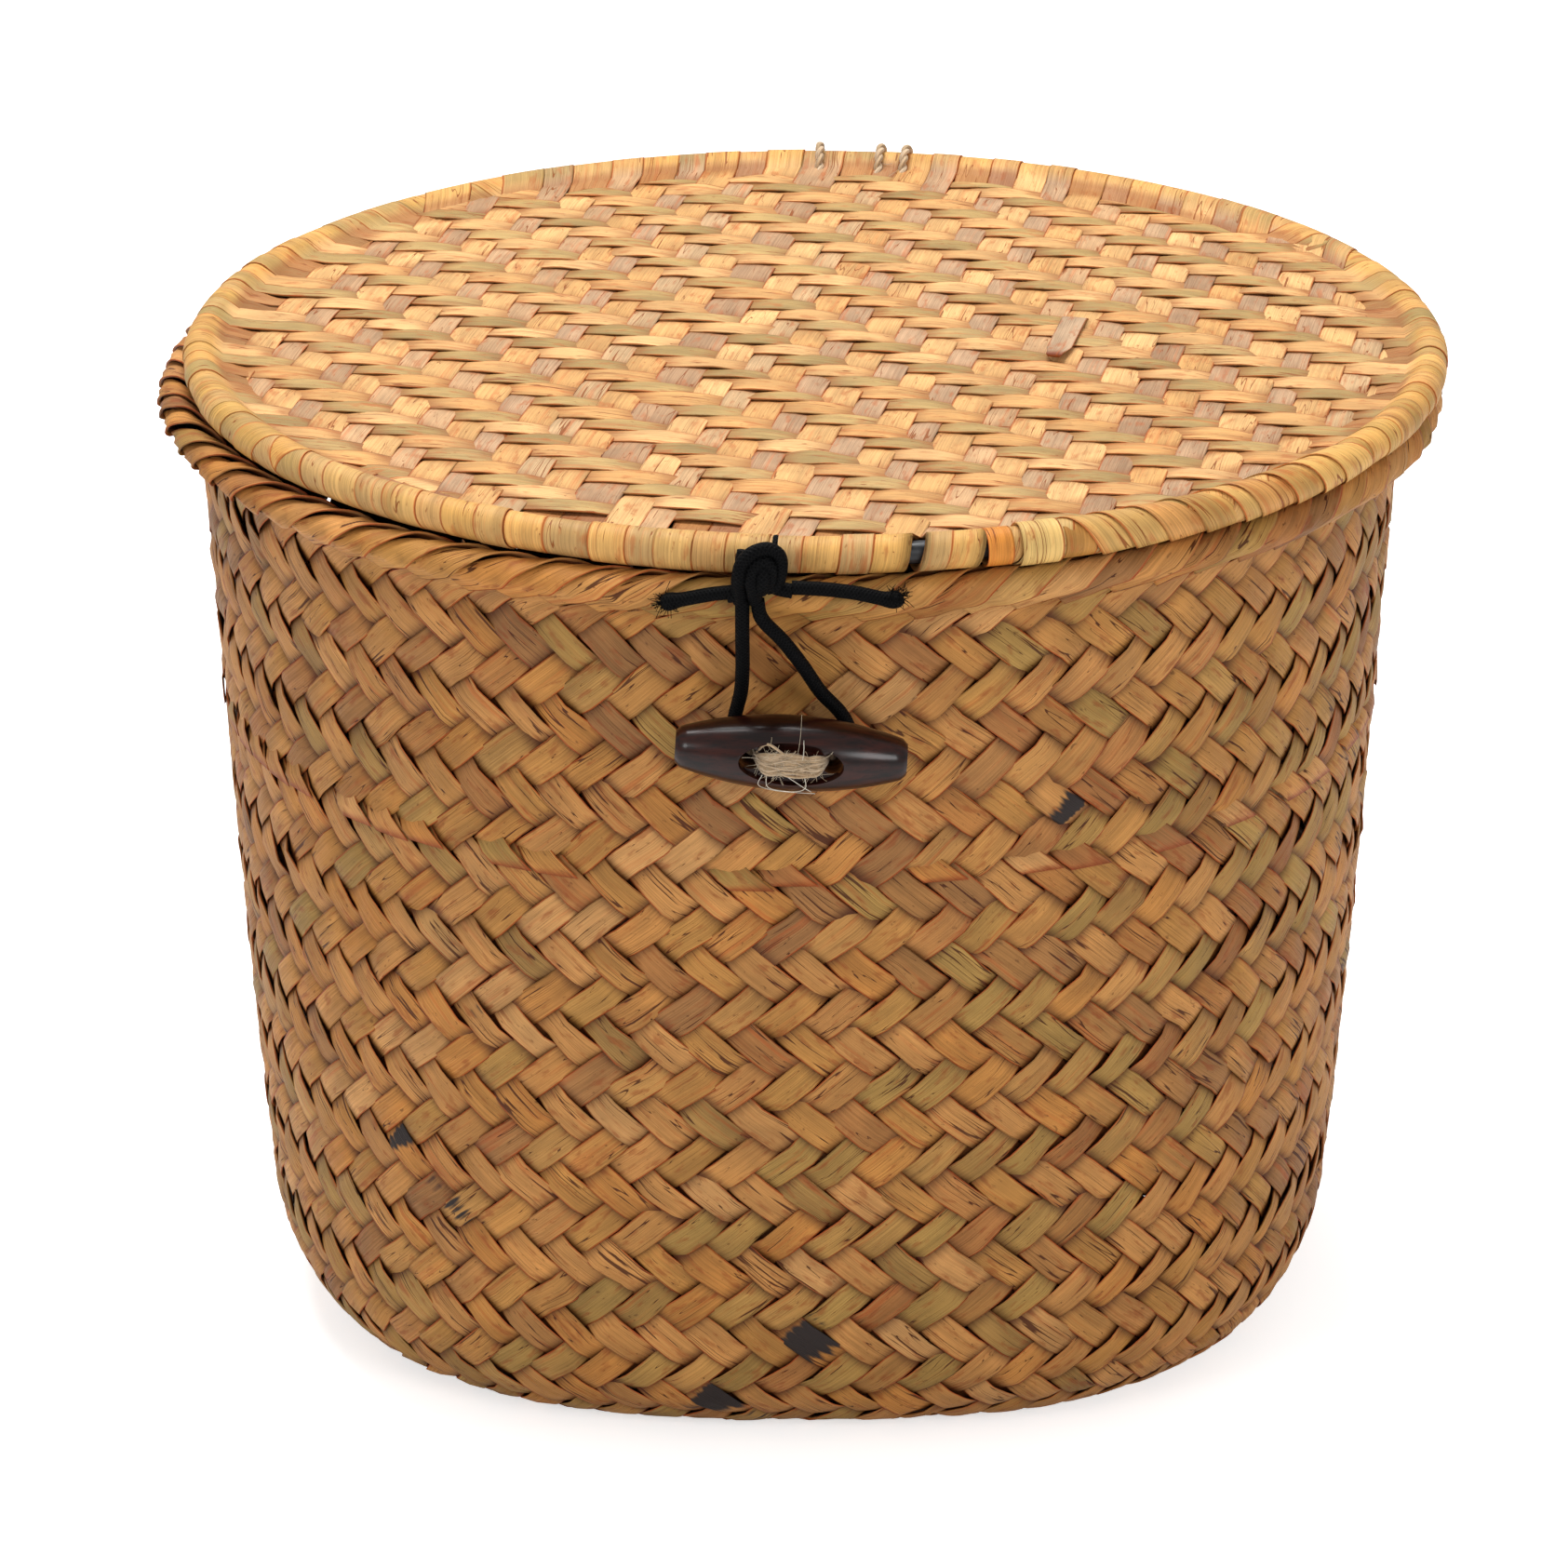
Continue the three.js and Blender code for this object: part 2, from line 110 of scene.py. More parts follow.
scorched_places = [(15.5, 35.8, 0.45), (2.4, 14.6, 0.45), (1.0, 17.2, 0.3), (3.2, 25.2, 0.25),
                   (10.2, 8.7, 0.65), (8.0, 4.6, 0.65), (9.3, 2.6, 0.4)]

wall_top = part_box("basket_shell")[1].z
border_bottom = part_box("rim_border")[0].z
hoop_low, hoop_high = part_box("rim_hoop")
rim_wire_radius = (hoop_high.z - hoop_low.z) / 2
rim_hoop_height = (hoop_high.z + hoop_low.z) / 2
rim_hoop_radius = hoop_high.x - rim_wire_radius
sides_round = 4
half_side_strips = strips_per_side / 2
rows_under = strips_per_side


def colour(code):
    """A web colour as the linear colour that the shaders take."""
    parts = [int(code[i:i + 2], 16) / 255 for i in (1, 3, 5)]
    return [((c + 0.055) / 1.055) ** 2.4 if c > 0.04045 else c / 12.92 for c in parts]


def wall_radius(height):
    rise = np.clip((height - heel_height) / (border_bottom - heel_height), 0, 1)
    straight = heel_radius + (wall_top_radius - heel_radius) * rise ** wall_curve
    flare = np.clip((height - border_bottom) / (wall_top - border_bottom), 0, 1)
    return straight + (rim_hoop_radius + weave_thickness / 2 - wall_top_radius) * flare


heel_turn = np.linspace(0, math.pi / 2, heel_steps)
heel_reach = heel_radius - plait_depth - base_half_side
heel_climb = heel_height - plait_depth
wall_heights = np.linspace(heel_height, wall_top, wall_steps)[1:]
side_radius = np.concatenate([
    base_half_side + heel_reach * np.sin(heel_turn),
    wall_radius(wall_heights) - plait_depth,
])
side_height = np.concatenate([
    plait_depth + heel_climb * (1 - np.cos(heel_turn)),
    wall_heights,
])


def run_along(*parts):
    """The length along a line up to each of its points."""
    steps = np.sqrt(sum(np.diff(part) ** 2 for part in parts))
    return np.concatenate([[0], np.cumsum(steps)])


side_run = run_along(side_radius, side_height)
side_rows = side_run / side_run[-1] * rows_up_side
side_slope = np.unwrap(np.arctan2(np.gradient(side_height), np.gradient(side_radius)))


def on_basket(place, row):
    """The point in the middle of the plait, and the way out of it, at a place counted in strips round
    the basket from the front left corner and a row counted up from the edge of the base."""
    under = np.clip(-row / rows_under, 0, 1)
    radius = np.where(row < 0, base_half_side * (1 - under), np.interp(row, side_rows, side_radius))
    height = np.interp(row, side_rows, side_height)
    slope = np.interp(row, side_rows, side_slope) * (row > 0)
    squareness = 2 + (base_squareness - 2) * np.clip(1 - height / square_up_to, 0, 1)
    squareness = squareness + (middle_squareness - base_squareness) * under
    side = np.floor(place / strips_per_side)
    along = (place - side * strips_per_side) / half_side_strips - 1
    straightness = 1 - (2 / squareness) ** straightening
    turn = (1 - straightness) * along * math.pi / 4 + straightness * np.arctan(along)
    angle = turn + side * math.pi / 2
    east, south = np.sin(angle), np.cos(angle)
    spread = np.abs(east) ** squareness + np.abs(south) ** squareness
    reach = radius / spread ** (1 / squareness)
    out_x = np.sign(east) * np.abs(east) ** (squareness - 1)
    out_y = -np.sign(south) * np.abs(south) ** (squareness - 1)
    size = np.hypot(out_x, out_y)
    rise, run = np.sin(slope), np.cos(slope)
    point = np.stack([reach * east, -reach * south, height + 0 * reach], -1)
    outward = np.stack([out_x / size * rise, out_y / size * rise, -run], -1)
    return point, outward


def between(values):
    """Twice as many values, with a smooth one put between each two."""
    wide = np.concatenate([values[:1], values, values[-1:]])
    middle = (9 * (wide[1:-2] + wide[2:-1]) - wide[:-3] - wide[3:]) / 16
    joined = np.empty(2 * len(values) - 1)
    joined[::2] = values
    joined[1::2] = middle
    return joined


def float_lift(over):
    """The rise of a strip at quarter steps of its crossings: over two, under two, domed between."""
    pairs = (over[1:] + over[:-1]) / 2 * float_dome_share
    knots = np.empty(2 * len(over) - 1)
    knots[::2] = over
    knots[1::2] = pairs
    return between(knots)


class Bundle:
    """Collects closed strips and cords into one mesh, with their colours and the run of their fibres."""

    def __init__(self):
        self.points, self.faces, self.tones, self.fibres, self.wear, self.maps = [], [], [], [], [], []
        self.count = 0
        self.strips = 0

    def add(self, top, below, tone, along, across, wear):
        """Top and below hold the points of rows of a strip; tone, along and the last argument have one
        value a row. The last argument is depth, scorch and dryness: depth sets a painted shade, darker
        where it is low, and what dips on top stands out below, so the underside is given the opposite
        depth."""
        rows = top.shape[0]
        ring = np.concatenate([top, below], 1)
        sides = ring.shape[1]
        first = np.arange(rows - 1)[:, None] * sides + np.arange(sides)[None, :]
        turned = np.arange(rows - 1)[:, None] * sides + (np.arange(sides)[None, :] + 1) % sides
        quads = np.stack([first, turned, turned + sides, first + sides], -1).reshape(-1, 4)
        self.faces += (quads + self.count).tolist()
        last = (rows - 1) * sides
        self.faces.append((np.arange(sides)[::-1] + self.count).tolist())
        self.faces.append((last + np.arange(sides) + self.count).tolist())
        self.points.append(ring.reshape(-1, 3))
        self.tones.append(np.repeat(np.broadcast_to(tone, (rows, 3)), sides, 0))
        spread = np.broadcast_to(across, (rows, sides))
        length = np.broadcast_to(along[:, None], (rows, sides))
        name = np.full((rows, sides), float(self.strips))
        self.fibres.append(np.stack([length, spread, name], -1).reshape(-1, 3))
        worn_and_shaded = np.repeat(np.broadcast_to(wear, (rows, 3))[:, None], sides, 1)
        # The underside takes the opposite depth, so it is painted in shade where the top stands out.
        worn_and_shaded[:, top.shape[1]:, 0] *= -1
        self.wear.append(worn_and_shaded.reshape(-1, 3))
        share = along / max(along[-1], 1e-6)
        turn_share = np.arange(sides + 1) / sides
        low = share[:-1, None] + 0 * turn_share[None, :-1]
        high = share[1:, None] + 0 * turn_share[None, :-1]
        from_share = np.broadcast_to(turn_share[:-1], low.shape)
        to_share = np.broadcast_to(turn_share[1:], low.shape)
        corners = np.stack([low, from_share, low, to_share, high, to_share, high, from_share], -1)
        caps = np.zeros((2 * sides, 2))
        caps[:sides] = (share[0], 0.5)
        caps[sides:] = (share[-1], 0.5)
        flat = np.concatenate([corners.reshape(-1, 2), caps])
        flat[:, 1] += self.strips
        self.maps.append(flat)
        self.count += rows * sides
        self.strips += 1

    def piece(self, name, finish, body, slot, nodes):
        """One object of all that was added, which rides a body, if one is given, and stands in for
        nodes of the frame."""
        mesh = bpy.data.meshes.new(name)
        mesh.from_pydata(np.concatenate(self.points).tolist(), [], self.faces)
        tones = np.concatenate(self.tones)
        colours = np.concatenate([tones, np.ones((len(tones), 1))], 1)
        mesh.attributes.new("tone", "FLOAT_COLOR", "POINT").data.foreach_set("color", colours.ravel())
        fibres = np.concatenate(self.fibres)
        mesh.attributes.new("fibre", "FLOAT_VECTOR", "POINT").data.foreach_set("vector", fibres.ravel())
        wear = np.concatenate(self.wear)
        mesh.attributes.new("wear", "FLOAT_VECTOR", "POINT").data.foreach_set("vector", wear.ravel())
        flat = np.concatenate(self.maps)
        flat[:, 1] = flat[:, 1] / self.strips
        mesh.uv_layers.new(name="OFBake").data.foreach_set("uv", flat.ravel())
        mesh.polygons.foreach_set("use_smooth", [True] * len(mesh.polygons))
        mesh.materials.append(finish)
        mesh.update()
        made = bpy.data.objects.new(name, mesh)
        bpy.context.scene.collection.objects.link(made)
        if body:
            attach(made, body)
        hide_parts(*nodes)
        return made


class Finish:
    """A procedural finish under construction: each call makes a node and hands back its output."""

    def __init__(self, name):
        self.made = bpy.data.materials.new(name)
        self.made.use_nodes = True
        self.nodes, self.links = self.made.node_tree.nodes, self.made.node_tree.links
        self.shader = self.nodes["Principled BSDF"]

    def put(self, value, socket):
        if isinstance(value, bpy.types.NodeSocket):
            self.links.new(value, socket)
        elif isinstance(value, (list, tuple)):
            socket.default_value = (*value, 1)
        else:
            socket.default_value = value

    def attribute(self, name, output):
        node = self.nodes.new("ShaderNodeAttribute")
        node.attribute_name = name
        return node.outputs[output]

    def parts(self, vector):
        node = self.nodes.new("ShaderNodeSeparateXYZ")
        self.put(vector, node.inputs[0])
        return node.outputs

    def noise(self, vector, scale, detail):
        stretch = self.nodes.new("ShaderNodeMapping")
        stretch.inputs["Scale"].default_value = scale
        self.put(vector, stretch.inputs["Vector"])
        node = self.nodes.new("ShaderNodeTexNoise")
        node.inputs["Scale"].default_value = 1
        node.inputs["Detail"].default_value = detail
        self.put(stretch.outputs[0], node.inputs["Vector"])
        return node.outputs["Fac"]

    def ramp(self, value, low, high, to_low=0.0, to_high=1.0):
        node = self.nodes.new("ShaderNodeMapRange")
        node.interpolation_type = "SMOOTHSTEP"
        for socket, amount in zip(node.inputs, (value, low, high, to_low, to_high)):
            self.put(amount, socket)
        return node.outputs[0]

    def sum_of(self, kind, first, second=0.0):
        node = self.nodes.new("ShaderNodeMath")
        node.operation = kind
        for socket, value in zip(node.inputs, (first, second)):
            self.put(value, socket)
        return node.outputs[0]

    def mixed(self, kind, share, first, second):
        node = self.nodes.new("ShaderNodeMix")
        node.data_type = "RGBA"
        node.blend_type = kind
        for number, value in ((0, share), (6, first), (7, second)):
            self.put(value, node.inputs[number])
        return node.outputs[2]

    def bump(self, height, strength, distance):
        node = self.nodes.new("ShaderNodeBump")
        node.inputs["Strength"].default_value = strength
        node.inputs["Distance"].default_value = distance
        self.put(height, node.inputs["Height"])
        self.put(node.outputs[0], self.shader.inputs["Normal"])


def straw_finish(name, edge_colour, split_and_shade_colour, roughness, crack_width, dip_shade_and_dirt):
    """Dried leaf: each strip's own tone, fine fibres and splits along it, reddened edges, painted shade
    with some dirt in the dips and under the strips, brown specks and scorched places."""
    leaf = Finish(name)
    stain_colour = [(a + b) / 2 for a, b in zip(edge_colour, split_and_shade_colour)]
    fibre = leaf.attribute("fibre", "Vector")
    tone = leaf.attribute("tone", "Color")
    depth, scorch, dryness = leaf.parts(leaf.attribute("wear", "Vector"))
    edge = leaf.sum_of("ABSOLUTE", leaf.parts(fibre)[1])
    threads = leaf.noise(fibre, (55, 17, 11.3), 4)
    streaks = leaf.noise(fibre, (30, 2.2, 7.7), 3)
    blotches = leaf.noise(fibre, (95, 0.8, 5.1), 3)
    specks = leaf.noise(fibre, (620, 3.4, 9.9), 2)
    cracks = leaf.noise(fibre, (34, 2.3, 3.3), 1)
    patches = leaf.noise(fibre, (60, 1.1, 4.7), 1)
    stains = leaf.noise(fibre, (210, 1.9, 6.3), 4)

    leafy = leaf.mixed("MULTIPLY", 1.0, tone, leaf.ramp(threads, 0.32, 0.68, 0.8, 1.1))
    leafy = leaf.mixed("MIX", leaf.ramp(streaks, 0.56, 0.74, 0, 0.4), leafy, edge_colour)
    leafy = leaf.mixed("MULTIPLY", 1.0, leafy, leaf.ramp(blotches, 0.32, 0.68, 0.84, 1.1))
    leafy = leaf.mixed("MIX", leaf.ramp(specks, 0.66, 0.78, 0, 0.55), leafy, split_and_shade_colour)
    leafy = leaf.mixed("MIX", leaf.ramp(stains, 0.55, 0.7, 0, 0.5), leafy, stain_colour)
    beside_crack = leaf.sum_of("ABSOLUTE", leaf.sum_of("SUBTRACT", cracks, 0.5))
    reach = leaf.sum_of("MULTIPLY", leaf.sum_of("MULTIPLY", dryness, crack_width),
                        leaf.ramp(patches, 0.42, 0.64, 0.0, 1.3))
    from_crack = leaf.sum_of("DIVIDE", beside_crack, leaf.sum_of("ADD", reach, 0.001))
    split = leaf.ramp(from_crack, 0.5, 1.1, 0.9, 0.0)
    leafy = leaf.mixed("MIX", split, leafy, split_and_shade_colour)
    reddened = leaf.ramp(blotches, 0.36, 0.56, 0, 0.85)
    red_edge = leaf.sum_of("MULTIPLY", leaf.ramp(edge, 0.88, 0.97), reddened)
    leafy = leaf.mixed("MIX", red_edge, leafy, edge_colour)
    # Painted shade, with some dirt: where the depth is low, toward the ends of floats and on the
    # undersides of strips, the colour is mixed toward the dark split colour.
    leafy = leaf.mixed("MIX", leaf.ramp(depth, -0.4, 0.85, dip_shade_and_dirt, 0.0), leafy, split_and_shade_colour)
    ragged = leaf.sum_of("ADD", scorch, leaf.ramp(streaks, 0.3, 0.7, -0.3, 0.3))
    burnt = leaf.sum_of("MULTIPLY", leaf.ramp(ragged, 0.35, 0.75), leaf.ramp(scorch, 0.02, 0.2))
    leafy = leaf.mixed("MIX", burnt, leafy, colour("#2b2321"))
    leaf.put(leafy, leaf.shader.inputs["Base Color"])
    rough = leaf.ramp(threads, 0.3, 0.7, roughness + 0.1, roughness - 0.06)
    leaf.put(rough, leaf.shader.inputs["Roughness"])
    leaf.shader.inputs["Specular IOR Level"].default_value = 0.22
    height = leaf.sum_of("ADD", threads, leaf.sum_of("MULTIPLY", streaks, 1.2))
    leaf.bump(leaf.sum_of("SUBTRACT", height, leaf.sum_of("MULTIPLY", split, 2.5)), 0.5, 0.0003)
    return leaf.made


body_tones = [
    colour(c) for c in ("#b98247", "#b27d3e", "#b37839", "#a07c40", "#9c6636", "#8f6238", "#bf8c54")
]
body_tone_shares = [0.28, 0.2, 0.13, 0.2, 0.08, 0.05, 0.06]
body_tone_variety = 0.26
tone_drift_crossings = 12
splice_cut_tone = colour("#94481e")
# The split colour is also the colour of the painted shade in the dips and under the strips, and the last
# argument sets how strong that painted shade is.
body_straw = straw_finish("body_straw", edge_colour=colour("#aa4616"), split_and_shade_colour=colour("#431702"),
                          roughness=0.55, crack_width=0.02, dip_shade_and_dirt=0.9)


def drawn_between(limits, count=None):
    """Random values, spread evenly between two limits."""
    low, high = limits
    return low + (high - low) * draw.random(count)


def strip_tones(crossings, palette, shares, variety):
    """One tone a crossing: the strip's own, drifting along it and changing a little at each float."""
    own = np.array(palette[draw.choice(len(palette), p=shares)])
    other = np.array(palette[draw.choice(len(palette), p=shares)])
    stations = np.arange(0, crossings + tone_drift_crossings, tone_drift_crossings)
    drift = np.interp(np.arange(crossings), stations, draw.random(len(stations)))[:, None]
    tone = own + (other - own) * drift ** 2
    return tone * (1 + variety * (draw.random((crossings, 1)) - 0.5))


def spread_over(values, rows):
    """Values at the crossings spread smoothly over a number of rows."""
    places = np.linspace(0, len(values) - 1, rows)
    if values.ndim == 1:
        return np.interp(places, np.arange(len(values)), values)
    return np.stack([np.interp(places, np.arange(len(values)), v) for v in values.T], -1)


def place_on_strip(side, centre, along, offset):
    """The place and row where a strip of one side is, at a length along it and an offset across it."""
    x = along + offset
    y = along - centre - offset
    level = np.maximum(np.maximum(np.abs(x), np.abs(y)), 1e-4)
    under_front = half_side_strips * (1 + x / level)
    under_right = half_side_strips * (3 + y / level)
    under_left = -half_side_strips * (1 + y / level)
    under_place = np.where(-y >= np.abs(x), under_front, np.where(x > 0, under_right, under_left))
    front = y < -half_side_strips
    right = x > half_side_strips
    place = np.where(front, x + half_side_strips, np.where(right, y + 3 * half_side_strips, under_place))
    row = np.where(front, -2 * (half_side_strips + y),
                   np.where(right, 2 * (x - half_side_strips), 2 * (level - half_side_strips)))
    return place + side * strips_per_side, row


def plait_strip(bundle, side, number):
    """One strip from the top of one side, down, under the base and up the next side."""
    centre = number + 0.5
    crossings = 2 * (strips_per_side + rows_up_side - number)
    row_of = np.abs(np.arange(crossings) - (crossings - 1) / 2) + centre - rows_under
    row_of = np.round(row_of).astype(int)
    first_half = np.arange(crossings) < crossings / 2
    down = np.isin(row_of % 4, (0, 1))
    over = np.where(down == first_half, 1.0, -1.0)
    lift = float_lift(over * (1 + float_variety * (draw.random(crossings) - 0.5)))
    rows = len(lift)
    strip_end = half_side_strips + rows_up_side / 2
    along = np.linspace(centre - strip_end, strip_end, rows)
    own_width = 1 + strip_width_variety * (draw.random() - wide_strip_share)
    wide = spread_over(own_width * (1 + width_drift * (draw.random(crossings) - 0.5)), rows)
    wide = wide * np.where(lift > 0, 1, tucked_width_share) * strip_width_share
    slip = spread_over(strip_slip * draw.standard_normal(crossings), rows)
    tilt = spread_over(strip_tilt * draw.standard_normal(crossings), rows)

    def surface(shares):
        offset = (slip[:, None] + wide[:, None] * shares[None, :]) / 2
        return on_basket(*place_on_strip(side, centre, along[:, None], offset))

    middle, outward = surface(across_shares)
    crown = strip_crown * (1 - across_shares ** 2)
    thick = strip_edge_thickness + (strip_thickness - strip_edge_thickness) * (1 - across_shares ** 2)
    stand = wide_strip_stand * (own_width - 1)
    rise = stand + strip_rise * lift[:, None] + tilt[:, None] * across_shares[None, :]
    top = middle + outward * (rise + (crown + thick / 2)[None, :])[:, :, None]
    lower, lower_out = surface(under_shares)
    under_crown = strip_crown * (1 - under_shares ** 2)
    under_rise = stand + strip_rise * lift[:, None] + tilt[:, None] * under_shares[None, :]
    below = lower + lower_out * (under_rise + (under_crown - strip_thickness / 2)[None, :])[:, :, None]
    run = run_along(*middle[:, 2].T)
    tone = spread_over(strip_tones(crossings, body_tones, body_tone_shares, body_tone_variety), rows)
    downward = drawn_between(downward_dryness, crossings)
    upward = drawn_between(upward_dryness, crossings)
    dryness = spread_over(np.where(first_half, downward, upward), rows)
    place, row = place_on_strip(side, centre, along, 0)
    scorch = np.zeros(rows)
    for burnt_place, burnt_row, reach in scorched_places:
        away = np.hypot(place % (sides_round * strips_per_side) - burnt_place, (row - burnt_row) / 2)
        scorch = np.maximum(scorch, np.clip(scorch_core - away / reach, 0, 1) * (lift > scorched_lift))
    # The strip's lift is its depth for the painted shade: it is painted darker toward the ends of each
    # float, where it dips under the strips across it.
    wear = np.stack([lift, scorch, dryness], -1)
    bundle.add(top, below, tone, run, ring_shares, wear)


def spliced_end(bundle, side, number):
    """The level cut end of an old strip, which lies on the new strip that carries on from there."""
    centre = number + 0.5
    start = centre - half_side_strips - (splice_row + splice_tuck) / 2
    cut = start + splice_tuck / 2 + splice_jitter * (draw.random() - 0.5)
    steps = np.linspace(0, 1, splice_steps)[:, None]

    def surface(shares):
        offset = splice_width_share * strip_width_share * shares[None, :] / 2 + 0 * steps
        return on_basket(*place_on_strip(side, centre, start + (cut + offset - start) * steps, offset))

    middle, outward = surface(across_shares)
    lower, lower_out = surface(under_shares)
    rise = (splice_stand + strip_rise * np.clip(splice_climb * steps - 1, -1, 1))[:, :, None]
    top = middle + outward * (rise + splice_thickness / 2)
    below = lower + lower_out * (rise - splice_thickness / 2)
    tone = np.array(body_tones[draw.integers(len(body_tones))]) * splice_shade
    tones = tone + (np.array(splice_cut_tone) - tone) * steps ** splice_browning
    # Painted shade: the depth climbs from the tucked start to the cut, so the splice is painted darker
    # where it goes under.
    depth = np.linspace(*splice_shade_depth, splice_steps)
    wear = np.stack([depth, np.zeros(splice_steps), np.full(splice_steps, splice_dryness)], -1)
    bundle.add(top, below, tones, run_along(*middle[:, 2].T), ring_shares, wear)


side_names = ["front", "right", "back", "left"]
for side, name in enumerate(side_names):
    following = side_names[(side + 1) % sides_round]
    plait = Bundle()
    for number in range(strips_per_side):
        plait_strip(plait, side, number)
        if draw.random() < spliced_share:
            spliced_end(plait, side, number)
    plait.piece(f"plait_{name}_to_{following}", body_straw, "basket", "body_straw", ["basket_shell"])

# The basket's rim
# Eighty strips turn over the round rim to the right, each lying on the next, and go down inside.
# They hold a black coated wire hoop that keeps the rim round.
ribbon_count = 80
ribbon_lean = math.radians(32)
ribbon_half_width = 0.0031
ribbon_thickness = 0.0008
ribbon_crown = 0.0002
ribbon_roll = 0.0034
ribbon_stand = 0.0009
ribbon_tilt = 0.0006
ribbon_wave = 0.00015
ribbon_foot_skew = 0.0004
ribbon_jitter = 0.0006
ribbon_width_variety = 0.12
ribbon_tilt_variety = 0.5
ribbon_wave_count = 10
ribbon_tone_count = 12
ribbon_tone_variety = 0.12
ribbon_paleness = 0.22
ribbon_dryness = 0.9
ribbon_rows = 60
rim_turn_steps = 14
rim_climb_steps = 12
# The depth for what lies on top: its top is left without painted shade and its underside is painted in
# shade.
top_depth = 0.8
cord_dryness = 0.5
hoop_steps = 181
hoop_sides = 14
wire_tone = colour("#17171a")

rim_turn = np.linspace(0, math.pi, rim_turn_steps)[1:-1]
rim_climb = np.linspace(0, 1, rim_climb_steps)
outer_foot = wall_radius(border_bottom) + ribbon_stand
inner_foot = wall_radius(border_bottom) - weave_thickness - ribbon_stand
ribbon_radius = np.concatenate([
    outer_foot + (rim_hoop_radius + ribbon_roll - outer_foot) * rim_climb,
    rim_hoop_radius + ribbon_roll * np.cos(rim_turn),
    inner_foot + (rim_hoop_radius - ribbon_roll - inner_foot) * rim_climb[::-1],
])
ribbon_height = np.concatenate([
    border_bottom + (rim_hoop_height - border_bottom) * rim_climb,
    rim_hoop_height + ribbon_roll * np.sin(rim_turn),
    border_bottom + (rim_hoop_height - border_bottom) * rim_climb[::-1],
])


def facing(radius, height):
    """The way out of a line that goes up the outside and comes down the inside."""
    along_radius, along_height = np.gradient(radius), np.gradient(height)
    size = np.hypot(along_radius, along_height)
    return along_height / size, -along_radius / size


ribbon_run = run_along(ribbon_radius, ribbon_height)
ribbon_out, ribbon_up = facing(ribbon_radius, ribbon_height)


def around_rim(angle, run):
    radius = np.interp(run, ribbon_run, ribbon_radius)
    height = np.interp(run, ribbon_run, ribbon_height)
    out = np.interp(run, ribbon_run, ribbon_out)
    up = np.interp(run, ribbon_run, ribbon_up)
    east, south = np.sin(angle), np.cos(angle)
    point = np.stack([radius * east, -radius * south, height], -1)
    return point, np.stack([out * east, -out * south, up], -1)


def rim_ribbon(bundle, number):
    rise, reach = math.sin(ribbon_lean), math.cos(ribbon_lean)
    half = ribbon_half_width * (1 + ribbon_width_variety * (draw.random() - 0.5))
    start = number * 2 * math.pi / ribbon_count
    start = start + ribbon_jitter / rim_hoop_radius * draw.standard_normal()
    foot = half * reach + ribbon_jitter * draw.random()
    length = (ribbon_run[-1] - foot - half * reach) / rise
    steps = np.linspace(0, length, ribbon_rows)
    fade = np.clip(1 - steps / (4 * half), 0, 1)
    tilt = ribbon_tilt * (1 + ribbon_tilt_variety * (draw.random() - 0.5))
    wave = spread_over(ribbon_wave * draw.standard_normal(ribbon_wave_count), ribbon_rows)

    def surface(shares):
        along = steps[:, None] - ribbon_foot_skew * fade[:, None] * shares[None, :]
        across = half * shares[None, :]
        angle = start + (along * reach - across * rise) / rim_hoop_radius
        point, outward = around_rim(angle, foot + along * rise + across * reach)
        lift = wave[:, None] - tilt * shares[None, :] + ribbon_crown * (1 - shares[None, :] ** 2)
        return point + outward * lift[:, :, None], outward

    middle, outward = surface(across_shares)
    lower, lower_out = surface(under_shares)
    top = middle + outward * ribbon_thickness / 2
    below = lower - lower_out * ribbon_thickness / 2
    shade = 1.0 + ribbon_paleness * draw.random()
    tones = strip_tones(ribbon_tone_count, body_tones, body_tone_shares, ribbon_tone_variety)
    wear = (top_depth, 0.0, ribbon_dryness * draw.random())
    bundle.add(top, below, shade * spread_over(tones, ribbon_rows), steps, ring_shares, wear)


rim = Bundle()
for number in range(ribbon_count):
    rim_ribbon(rim, number)
rim.piece("rim_ribbons", body_straw, "basket", "body_straw", ["rim_border"])


def sides_of_path(path):
    """Two ways straight across a path at each of its points, which bend with it and don't twist."""
    along = np.gradient(path, axis=0)
    along = along / np.linalg.norm(along, axis=1)[:, None]
    last = np.array([0.0, 0.0, 1.0]) if abs(along[0, 2]) < 0.9 else np.array([1.0, 0.0, 0.0])
    sides = []
    for step in along:
        last = last - step * (last @ step)
        last = last / np.linalg.norm(last)
        sides.append(last)
    side = np.array(sides)
    return side, np.cross(along, side)


def add_cord(bundle, path, radius, tone, sides):
    """A round cord along a path; the radius is one number or one for each point."""
    side, other = sides_of_path(path)
    turn = 2 * math.pi * np.arange(sides) / sides
    thick = np.broadcast_to(radius, (len(path),))[:, None, None]
    ring = path[:, None] + thick * (np.cos(turn)[None, :, None] * side[:, None]
                                    + np.sin(turn)[None, :, None] * other[:, None])
    half = sides // 2
    around = 2 * np.arange(sides) / sides - 1
    wear = (top_depth, 0.0, cord_dryness)
    bundle.add(ring[:, :half], ring[:, half:], tone, run_along(*path.T), around, wear)


